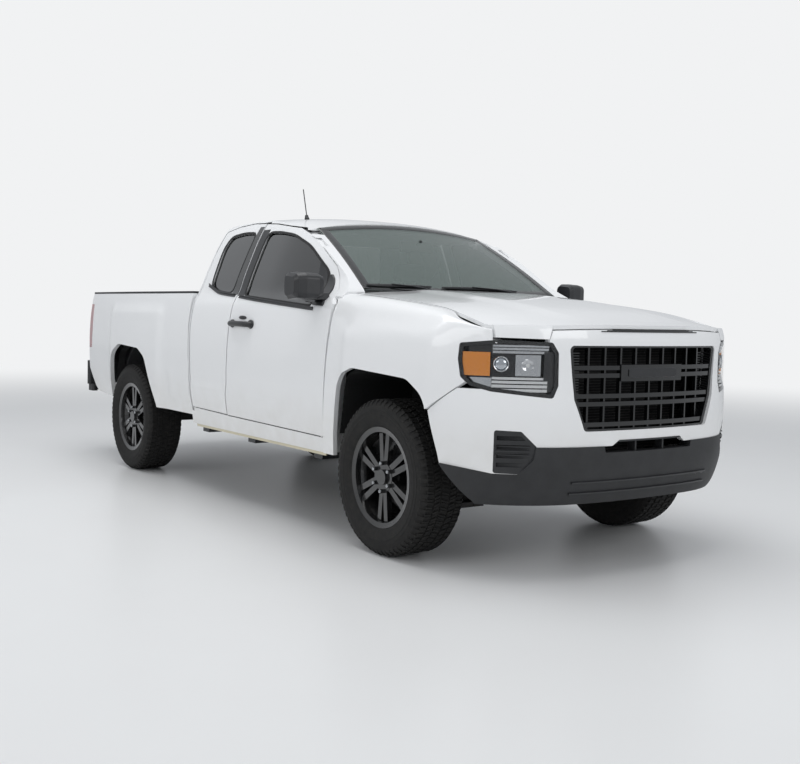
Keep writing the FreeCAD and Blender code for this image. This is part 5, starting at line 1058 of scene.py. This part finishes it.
class TRUCK_OT_headlamps(bpy.types.Operator):
    """Build each headlamp: housing, amber turn lamp, projector, high-beam bowl, light bars and clear lens"""
    bl_idname = "truck.headlamps"
    bl_label = "Headlamps"

    # How squarely a face of the lamp has to look outwards to count, and the places that the light bars span.
    looks_out = 0.2
    bars = (2.468, 2.612)

    def execute(self, context):
        first = None
        for side, sign in SIDES:
            toward = (0.75, sign * 0.65, 0.0)
            half = ((0, sign, 0), 0.02, 1.2)
            whole = (half, ((0, 0, 1), 0.6, 1.3))
            made = self.housing(side, toward, whole)
            first = first or made

            def layer(name, x0, x1, z0, z1, deep, thick, material):
                """Strip of the lamp behind the lens, between two places and two heights."""
                mesh = facing("headlamps", toward, (half, ((1, 0, 0), x0, x1), ((0, 0, 1), z0, z1)), -deep,
                              thick, self.looks_out)
                piece(name + "_" + side, mesh, material, "truck_body")

            layer("turn_lamp", 2.356, 2.461, 0.929, 1.034, 0.026, 0.018, "amber_polycarbonate")
            layer("turn_lamp_bowl", 2.352, 2.466, 0.862, 0.921, 0.034, 0.010, "vacuum_metallised_reflector")
            for at, (z0, z1) in enumerate(((1.030, 1.041), (1.045, 1.055), (1.059, 1.068))):
                layer("upper_bar_" + str(at), *self.bars, z0, z1, 0.026 - 0.004 * at, 0.010,
                      "vacuum_metallised_reflector")
            for at, (z0, z1) in enumerate(((0.914, 0.925), (0.897, 0.909), (0.879, 0.892), (0.861, 0.874))):
                layer("lower_bar_" + str(at), *self.bars, z0, z1, 0.024 - 0.003 * at, 0.010,
                      "frosted_white_acrylic")
            layer("inner_panel", 2.604, 2.632, 0.862, 1.040, 0.020, 0.008, "satin_black_abs")
            layer("high_beam_bowl", 2.536, 2.598, 0.931, 1.024, 0.034, 0.010, "vacuum_metallised_reflector")
            layer("beam_surround", 2.464, 2.534, 0.929, 1.026, 0.036, 0.008, "satin_black_abs")
            lens = facing("headlamps", toward, whole, -0.0034, 0.0030, self.looks_out)
            piece("headlamp_lens_" + side, lens, "clear_polycarbonate", "truck_body")
            self.projector(side, sign, (2.497, sign * 0.767, 0.983))
            self.high_beam(side, sign, (2.570, sign * 0.672, 0.978))
        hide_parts("headlamps")
        return {"FINISHED"}

    def housing(self, side, toward, limits):
        """Dark tray behind the lens, with a black rim under the lens edge."""
        back = facing("headlamps", toward, limits, -0.046, 0.004, self.looks_out)
        bm = bmesh.new()
        bm.from_mesh(back)
        run = outline_of("headlamps", toward, limits, self.looks_out)
        ribbon(bm, run, 0.017, 0.0016, -0.0056, loop=True, shift=0.0085)
        count = len(run)
        outer = [(bm.verts.new(p - n * 0.0045), bm.verts.new(p - n * 0.046)) for p, n in run]
        inner = []
        for i, (p, n) in enumerate(run):
            ahead = (run[(i + 1) % count][0] - run[i - 1][0]).normalized()
            side_way = n.cross(ahead).normalized() * 0.002
            inner.append((bm.verts.new(p - n * 0.0045 + side_way), bm.verts.new(p - n * 0.046 + side_way)))
        for i in range(count):
            j = (i + 1) % count
            bm.faces.new((outer[i][0], outer[j][0], outer[j][1], outer[i][1]))
            bm.faces.new((inner[i][0], inner[i][1], inner[j][1], inner[j][0]))
            bm.faces.new((outer[i][0], inner[i][0], inner[j][0], outer[j][0]))
            bm.faces.new((outer[i][1], outer[j][1], inner[j][1], inner[i][1]))
        return piece("headlamp_housing_" + side, closed(bm, "headlamp_housing"), "gloss_black_abs",
                     "truck_body")

    def turned(self, name, centre, outward, rows, material, count=32):
        """Round piece about the direction that a lamp faces."""
        outward = Vector(outward).normalized()
        across = Vector((0, 0, 1)).cross(outward).normalized()
        over = outward.cross(across)
        centre = Vector(centre)
        bm = bmesh.new()
        ring_rows(bm, [[centre + outward * o + (across * math.cos(a) + over * math.sin(a)) * r
                        for a in turns(count)] for r, o in rows])
        piece(name, closed(bm, name), material, "truck_body")

    def projector(self, side, sign, centre):
        """Low-beam lens in its bright ring."""
        out = (0.78, sign * 0.62, 0.0)
        self.turned("projector_ring_" + side, centre, out,
                    ((0.030, -0.030), (0.036, -0.030), (0.036, -0.013), (0.0335, -0.010), (0.0295, -0.012),
                     (0.0285, -0.018), (0.0285, -0.029)), "vacuum_metallised_reflector")
        self.turned("projector_lens_" + side, centre, out,
                    ((0.0285, -0.030), (0.0285, -0.021), (0.0265, -0.0165), (0.0215, -0.0125),
                     (0.0145, -0.0098), (0.006, -0.0086), (0.001, -0.0085)), "silvered_mirror_glass")

    def high_beam(self, side, sign, centre):
        """High-beam bulb and the ring round it."""
        out = (0.84, sign * 0.54, 0.0)
        self.turned("high_beam_bulb_" + side, centre, out,
                    ((0.0105, -0.036), (0.0105, -0.022), (0.0085, -0.016), (0.004, -0.013), (0.001, -0.0125)),
                    "frosted_white_acrylic", 20)
        self.turned("high_beam_ring_" + side, centre, out,
                    ((0.024, -0.030), (0.028, -0.030), (0.028, -0.020), (0.0262, -0.0185), (0.024, -0.020)),
                    "vacuum_metallised_reflector", 28)


class TRUCK_OT_nose(bpy.types.Operator):
    """Fit the radiator, grille louvres, blank bar, hood slot, fog bezel ridges and lower slats"""
    bl_idname = "truck.nose"
    bl_label = "Nose trim"

    def execute(self, context):
        self.radiator()
        self.grille()
        run = laid_on(("fascia",), [(3.2, -0.326 + 0.652 * i / 40, 1.134) for i in range(41)], (-1, 0, 0))
        bm = bmesh.new()
        for i in range(3):
            strip = run[2 * i:41 - 2 * i]
            ribbon(bm,
                   [(p + Vector((0.0006, 0, 0.0005 + 0.0042 * i)), Vector((1, 0, 0.1))) for p, _ in strip],
                   0.0048, 0.0022, 0.0004)
        piece("hood_front_slot", closed(bm, "hood_front_slot"), "gloss_black_abs", "truck_body")
        for side, sign in SIDES:
            for at, z in enumerate((0.617, 0.598, 0.579)):
                mesh = facing("front_bumper", (0.71, sign * 0.71, 0.0),
                              (((0, sign, 0), 0.655, 0.775), ((1, 0, 0), 2.46, 2.60),
                               ((0, 0, 1), z - 0.003, z + 0.003)), -0.001, 0.009, 0.8)
                piece("fog_bezel_ridge_" + side + "_" + str(at), mesh, "satin_black_abs", "truck_body")
        for at, z in enumerate((0.452, 0.401)):
            mesh = facing("front_bumper", (1, 0, -0.25),
                          (((0, 1, 0), -0.46, 0.46), ((1, 0, 0), 2.55, 2.70),
                           ((0, 0, 1), z - 0.004, z + 0.004)), -0.001, 0.009, 0.5)
            piece("lower_slat_" + str(at), mesh, "satin_black_abs", "truck_body")
        return {"FINISHED"}

    def radiator(self):
        """Core with its tanks, side shrouds and fins, as far as they show through the grille."""
        bm = bmesh.new()
        brick(bm, (2.430, -0.500, 0.560), (2.462, 0.500, 1.090), 0.004)
        brick(bm, (2.424, -0.540, 0.550), (2.470, -0.500, 1.100), 0.006)
        brick(bm, (2.424, 0.500, 0.550), (2.470, 0.540, 1.100), 0.006)
        brick(bm, (2.440, 0.535, 0.560), (2.450, 0.640, 1.060), 0.003)
        brick(bm, (2.440, -0.640, 0.560), (2.450, -0.535, 1.060), 0.003)
        piece("radiator_core", closed(bm, "radiator_core"), "needled_arch_felt", "truck_body")
        bm = bmesh.new()
        brick(bm, (2.4625, -0.498, 0.565), (2.4665, 0.498, 0.5675))
        mesh = grown(closed(bm, "fin"), line_array(), "radiator_fins", Count=40, Step=(0.0, 0.0, 0.0132),
                     Centre=(0.0, 0.0, 0.0), Material=finish("chassis_wax_on_steel"))
        piece("radiator_fins", mesh, "chassis_wax_on_steel", "truck_body")

    def grille(self):
        """Louvres at both ends of the grille and the plain bar in its middle."""
        bm = bmesh.new()
        for y0, y1 in ((-0.520, -0.400), (0.400, 0.520)):
            brick(bm, (2.600, y0, 0.718), (2.612, y1, 0.7225))
        mesh = grown(closed(bm, "louvre"), line_array(), "grille_louvres", Count=27, Step=(0.0, 0.0, 0.0121),
                     Centre=(0.0, 0.0, 0.0), Material=finish("gloss_black_abs"))
        piece("grille_louvres", mesh, "gloss_black_abs", "truck_body")
        bm = bmesh.new()
        rows = []
        half_wide, half_tall, middle_z = 0.162, 0.024, 0.9465
        for i in range(25):
            y = -half_wide + 2.0 * half_wide * i / 24
            base = 2.6765 - 0.12 * y * y
            ease = max(0.0, 1.0 - (abs(y) / half_wide) ** 14)
            high = half_tall * (0.72 + 0.28 * ease)
            rows.append([Vector((base + out, y, middle_z + up)) for out, up in (
                (0.0, -high), (0.014, -high), (0.0185, -high + 0.004), (0.0185, high - 0.004), (0.014, high),
                (0.0, high))])
        ring_rows(bm, rows)
        piece("grille_blank_bar", closed(bm, "grille_blank_bar"), "satin_black_abs", "truck_body")


class TRUCK_OT_glass_details(bpy.types.Operator):
    """Fit the windshield's printed border, wipers, inside mirror and the outer mirrors' glass"""
    bl_idname = "truck.glass_details"
    bl_label = "Glass and mirrors"

    def execute(self, context):
        bm = bmesh.new()
        run = outline_of("windshield", (0.56, 0.0, 0.83), (), 0.55)
        ribbon(bm, run, 0.052, 0.0006, 0.0004, loop=True, shift=0.028)
        piece("windshield_border", closed(bm, "windshield_border"), "fired_ceramic_enamel", "truck_body")
        self.wipers()
        bm = bmesh.new()
        brick(bm, (0.782, -0.118, 1.566), (0.806, 0.118, 1.632), 0.011, 3)
        tube(bm, [(0.800, 0.0, 1.612), (0.826, 0.0, 1.628), (0.846, 0.0, 1.630)], 0.009, 10)
        piece("inside_mirror", closed(bm, "inside_mirror"), "satin_black_abs", "truck_body")
        bm = bmesh.new()
        brick(bm, (0.7795, -0.110, 1.573), (0.7825, 0.110, 1.625), 0.0012, 1)
        piece("inside_mirror_glass", closed(bm, "inside_mirror_glass"), "silvered_mirror_glass", "truck_body")
        for side, sign in SIDES:
            low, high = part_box("mirror_" + side)
            middle = (Vector(low) + Vector(high)) / 2.0
            mesh = facing("mirror_" + side, (-1.0, 0.0, 0.0),
                          (((0, sign, 0), abs(middle.y) - 0.03, 1.2),
                           ((0, 0, 1), low[2] + 0.022, high[2] - 0.018)),
                          0.0006, 0.0020, 0.86)
            piece("mirror_glass_" + side, mesh, "silvered_mirror_glass", "door_front_" + side)
        return {"FINISHED"}

    def wipers(self):
        """Blades laid along the glass, with their arms."""
        for name, pivot, path in (
            ("right", (1.316, -0.300), ((1.286, -0.250), (1.276, -0.420), (1.262, -0.590), (1.250, -0.660))),
            ("left", (1.316, 0.330), ((1.290, 0.380), (1.292, 0.150), (1.294, -0.060), (1.292, -0.180))),
        ):
            points = [hit("windshield", (x, y, 2.4), (0, 0, -1)) for x, y in path]
            out = Vector((0.56, 0.0, 0.83))
            line = curve_through([p + out * 0.007 for p in points], 6)
            bm = bmesh.new()
            last = len(line) - 1
            tube(bm, line, [0.003 + 0.0028 * math.sin(math.pi * i / last) for i in range(len(line))], 8, 1.5)
            middle = line[len(line) // 2]
            foot = hit("windshield", (pivot[0], pivot[1], 2.4), (0, 0, -1))
            arm = curve_through([foot, foot + Vector((-0.004, 0, 0.014)),
                                 foot.lerp(middle, 0.45) + out * 0.018, middle + out * 0.010], 5)
            tube(bm, arm, [0.0095] * 5 + [0.0075] * 6 + [0.0055] * 5, 10, 0.7)
            piece("wiper_" + name, closed(bm, "wiper"), "satin_black_abs", "truck_body")


class TRUCK_OT_tail(bpy.types.Operator):
    """Fit the tailgate handle, the third lamp and the reversing lenses"""
    bl_idname = "truck.tail"
    bl_label = "Tail trim"

    def execute(self, context):
        x = hit("tailgate", (-3.2, 0.16, 1.232), (1, 0, 0)).x
        bm = bmesh.new()
        for y0, y1, z0, z1 in ((-0.104, 0.104, 1.198, 1.206), (-0.104, 0.104, 1.256, 1.264),
                               (-0.104, -0.094, 1.198, 1.264), (0.094, 0.104, 1.198, 1.264)):
            brick(bm, (x - 0.006, y0, z0), (x + 0.002, y1, z1), 0.002)
        brick(bm, (x + 0.004, -0.086, 1.214), (x + 0.013, 0.086, 1.247), 0.004)
        piece("tailgate_handle", closed(bm, "tailgate_handle"), "satin_black_abs", "tailgate")
        back = hit("cab_back", (-1.6, 0.0, 1.700), (1, 0, 0))
        bm = bmesh.new()
        brick(bm, (back.x - 0.010, -0.150, 1.690), (back.x + 0.001, 0.150, 1.716), 0.004)
        piece("third_stop_lamp", closed(bm, "third_stop_lamp"), "red_acrylic", "truck_body")
        for side, sign in SIDES:
            mesh = facing("tail_lamps", (-1.0, 0.0, 0.0), (((0, sign, 0), 0.5, 1.1), ((0, 0, 1), 0.93, 1.02)),
                          0.0005, 0.0022, 0.6)
            piece("reversing_lens_" + side, mesh, "frosted_white_acrylic", "truck_body")
        return {"FINISHED"}


class TRUCK_OT_seats(bpy.types.Operator):
    """Upholster the seats: cut pads, swell them, sew their channels and set them on their shells"""
    bl_idname = "truck.seats"
    bl_label = "Seats"

    # Right pads: name, two corners, shift of the top in x, narrowing of the top, places of the channels.
    pads = (
        ("front_cushion", (0.275, -0.645, 0.700), (0.795, -0.145, 0.865), 0.0, 0.02, (-0.50, -0.29)),
        ("front_back", (0.238, -0.645, 0.825), (0.372, -0.145, 1.385), -0.105, 0.12, (-0.50, -0.29)),
        ("front_headrest", (0.132, -0.528, 1.396), (0.252, -0.262, 1.543), 0.0, 0.06, ()),
        ("rear_cushion", (-0.380, -0.675, 0.620), (-0.062, -0.175, 0.788), 0.0, 0.02, (-0.425,)),
        ("rear_back", (-0.404, -0.675, 0.768), (-0.300, -0.175, 1.225), 0.0, 0.04, (-0.425,)),
    )
    # A pad is cut this much inside its corners, to leave room for it to swell.
    cut_low = Vector((0.014, 0.014, 0.012))
    cut_high = Vector((0.014, 0.014, 0.016))
    voxel, quick_voxel = 0.006, 0.02
    swell_frames = 20
    # A pad taller than this stands upright, and is sewn on its front and not on its top.
    upright_from = 0.3
    channel_width = 0.010

    def evaluated(self, made):
        """Mesh of an object as its modifiers leave it."""
        return bpy.data.meshes.new_from_object(made.evaluated_get(bpy.context.evaluated_depsgraph_get()))

    def cut(self, name, low, high, slope, taper):
        """Pad cut to shape, before it swells."""
        bm = bmesh.new()
        brick(bm, low, high, 0.034, 4)
        middle = (low + high) / 2.0
        for v in bm.verts:
            t = (v.co.z - low.z) / (high.z - low.z)
            v.co.x += slope * t
            v.co.y = middle.y + (v.co.y - middle.y) * (1.0 - taper * t)
        mesh = bpy.data.meshes.new(name)
        bm.to_mesh(mesh)
        bm.free()
        made = bpy.data.objects.new(name, mesh)
        bpy.context.scene.collection.objects.link(made)
        remesh = made.modifiers.new("cut", "REMESH")
        remesh.mode = "VOXEL"
        remesh.voxel_size = self.voxel
        bpy.context.view_layer.update()
        fine = self.evaluated(made)
        made.modifiers.remove(remesh)
        made.data = fine
        return made

    def swell(self, made, most):
        """Blow a pad up as cloth, no point of it further than a given distance."""
        rest = [v.co.copy() for v in made.data.vertices]
        cloth = made.modifiers.new("swell", "CLOTH")
        cloth.settings.use_pressure = True
        cloth.settings.uniform_pressure_force = 4.0
        cloth.settings.effector_weights.gravity = 0.0
        cloth.settings.quality = 4
        cloth.collision_settings.use_collision = False
        scene = bpy.context.scene
        scene.frame_start, scene.frame_end = 1, self.swell_frames
        cloth.point_cache.frame_start, cloth.point_cache.frame_end = 1, self.swell_frames
        for at in range(1, self.swell_frames + 1):
            scene.frame_set(at)
        swollen = self.evaluated(made)
        made.modifiers.remove(cloth)
        for v, old in zip(swollen.vertices, rest):
            shift = v.co - old
            if shift.length > most:
                v.co = old + shift.normalized() * most
        made.data = swollen
        scene.frame_set(1)

    def sew(self, made, low, high, channels, depth):
        """Press the sewn channels into the side of a pad that is sat on or leant on."""
        middle = (low + high) / 2.0
        upright = high.z - low.z > self.upright_from
        out = Vector((1.0, 0.0, 0.25) if upright else (0.0, 0.0, 1.0)).normalized()
        for v in made.data.vertices:
            for y in channels:
                near = math.exp(-((v.co.y - y) / self.channel_width) ** 2)
                if (v.co - middle).dot(out) > 0.0:
                    v.co -= out * near * depth

    def left_twin(self, made, name):
        """Mirrored copy of a right pad."""
        bm = bmesh.new()
        bm.from_mesh(made.data)
        bmesh.ops.scale(bm, vec=(1, -1, 1), verts=bm.verts)
        bmesh.ops.recalc_face_normals(bm, faces=bm.faces)
        mesh = bpy.data.meshes.new(name + "_right_other")
        bm.to_mesh(mesh)
        bm.free()
        mesh.shade_smooth()
        twin = piece(name + "_left", mesh, "woven_polyester_seat_cloth", "truck_body")

    def execute(self, context):
        sizes = context.scene.truck_seat
        for name, near_corner, far_corner, slope, taper, channels in self.pads:
            low, high = Vector(near_corner) + self.cut_low, Vector(far_corner) - self.cut_high
            made = self.cut(name + "_right", low, high, slope, taper)
            self.swell(made, sizes.swell)
            self.sew(made, low, high, channels, sizes.seam)
            made.data.shade_smooth()
            made.data.materials.clear()
            made.data.materials.append(finish("woven_polyester_seat_cloth"))
            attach(made, "truck_body")
            self.left_twin(made, name)
        bm = bmesh.new()
        rear = bmesh.new()
        for sign in (-1.0, 1.0):
            y0, y1 = sorted((sign * 0.170, sign * 0.620))
            brick(bm, (0.315, y0, 0.560), (0.735, y1, 0.700), 0.012)
            brick(bm, (0.150, sign * 0.395 - 0.225, 0.760), (0.262, sign * 0.395 + 0.225, 1.250), 0.020,
                  turn=Matrix.Rotation(math.radians(-9), 3, "Y"))
            for y in (sign * 0.34, sign * 0.45):
                tube(bm, [(0.200, y, 1.340), (0.196, y, 1.420)], 0.006, 10)
            outer = sign * 0.655
            brick(bm, (0.300, outer - 0.009, 0.690), (0.700, outer + 0.009, 0.790), 0.008)
            y0, y1 = sorted((sign * 0.190, sign * 0.660))
            brick(rear, (-0.372, y0, 0.505), (-0.075, y1, 0.622), 0.012)
        shell = piece("front_seat_shells", closed(bm, "front_seat_shells"), "moulded_black_polypropylene",
                      "truck_body")
        plinth = piece("rear_seat_plinths", closed(rear, "rear_seat_plinths"), "moulded_black_polypropylene",
                       "truck_body")
        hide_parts("front_seats")
        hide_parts("rear_seats")
        return {"FINISHED"}


class TRUCK_OT_cabin(bpy.types.Operator):
    """Fit the dashboard's vents, blank screen and dial hood"""
    bl_idname = "truck.cabin"
    bl_label = "Cabin"

    def execute(self, context):
        face = hit("dashboard", (0.60, 0.0, 1.14), (1, 0, 0))
        bm = bmesh.new()
        brick(bm, (face.x - 0.008, -0.125, 1.060), (face.x + 0.001, 0.125, 1.190), 0.004)
        piece("blank_screen", closed(bm, "blank_screen"), "gloss_black_abs", "truck_body")
        slats = bmesh.new()
        brick(slats, (-0.010, -0.052, 0.0), (0.0, 0.052, 0.0045))
        slat = closed(slats, "vent_slat")
        for at, y in enumerate((-0.62, -0.20, 0.20, 0.62)):
            place = hit("dashboard", (0.55, y, 1.15), (1, 0, 0))
            mesh = grown(slat.copy(), line_array(), "vent", Count=6, Step=(0.0, 0.0, 0.0115),
                         Centre=(place.x, y, 1.120), Material=finish("satin_black_abs"))
            piece("vent_" + str(at), mesh, "satin_black_abs", "truck_body")
        place = hit("dashboard", (0.60, 0.385, 1.17), (1, 0, 0))
        bm = bmesh.new()
        brick(bm, (place.x - 0.030, 0.235, 1.225), (place.x + 0.001, 0.535, 1.243), 0.006)
        for y in (0.315, 0.455):
            ring_rows(bm, [[Vector((place.x + x, y + r * math.cos(a), 1.165 + r * math.sin(a)))
                            for a in turns(28)] for r, x in (
                (0.056, 0.001), (0.058, -0.012), (0.054, -0.014), (0.050, -0.006))])
        piece("dial_hood", closed(bm, "dial_hood"), "satin_black_abs", "truck_body")
        return {"FINISHED"}


STEPS = (
    ("truck.studio", "Studio"), ("truck.finishes", "Paint and finishes"), ("truck.side_trim", "Side trim"),
    ("truck.wheels", "Tyres and wheel nuts"), ("truck.headlamps", "Headlamps"), ("truck.nose", "Nose trim"),
    ("truck.glass_details", "Glass and mirrors"), ("truck.tail", "Tail trim"), ("truck.cabin", "Cabin"),
    ("truck.seats", "Seats"),
)


class TRUCK_PT_panel(bpy.types.Panel):
    """Lists the truck's choices and the steps that build its dressing"""
    bl_label = "Pickup truck"
    bl_idname = "TRUCK_PT_panel"
    bl_space_type = "VIEW_3D"
    bl_region_type = "UI"
    bl_category = "Truck"

    def draw(self, context):
        for group in ("truck_finish", "truck_tyre", "truck_seat"):
            choices = getattr(context.scene, group)
            for item in choices.bl_rna.properties:
                if not item.is_readonly and item.identifier != "name":
                    self.layout.prop(choices, item.identifier)
        for step, label in STEPS:
            self.layout.operator(step, text=label)


CLASSES = (
    TruckFinish, TruckTyre, TruckSeat, TRUCK_OT_studio, TRUCK_OT_finishes, TRUCK_OT_side_trim,
    TRUCK_OT_wheels, TRUCK_OT_headlamps, TRUCK_OT_nose, TRUCK_OT_glass_details, TRUCK_OT_tail,
    TRUCK_OT_cabin, TRUCK_OT_seats, TRUCK_PT_panel,
)


def register():
    for made in CLASSES:
        bpy.utils.register_class(made)
    bpy.types.Scene.truck_finish = bpy.props.PointerProperty(type=TruckFinish)
    bpy.types.Scene.truck_tyre = bpy.props.PointerProperty(type=TruckTyre)
    bpy.types.Scene.truck_seat = bpy.props.PointerProperty(type=TruckSeat)


def unregister():
    del bpy.types.Scene.truck_seat
    del bpy.types.Scene.truck_tyre
    del bpy.types.Scene.truck_finish
    for made in reversed(CLASSES):
        bpy.utils.unregister_class(made)


def main():
    """Run every step in order."""
    register()
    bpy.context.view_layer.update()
    for step, _ in STEPS:
        group, name = step.split(".")
        getattr(getattr(bpy.ops, group), name)()


if __name__ == "__main__":
    main()
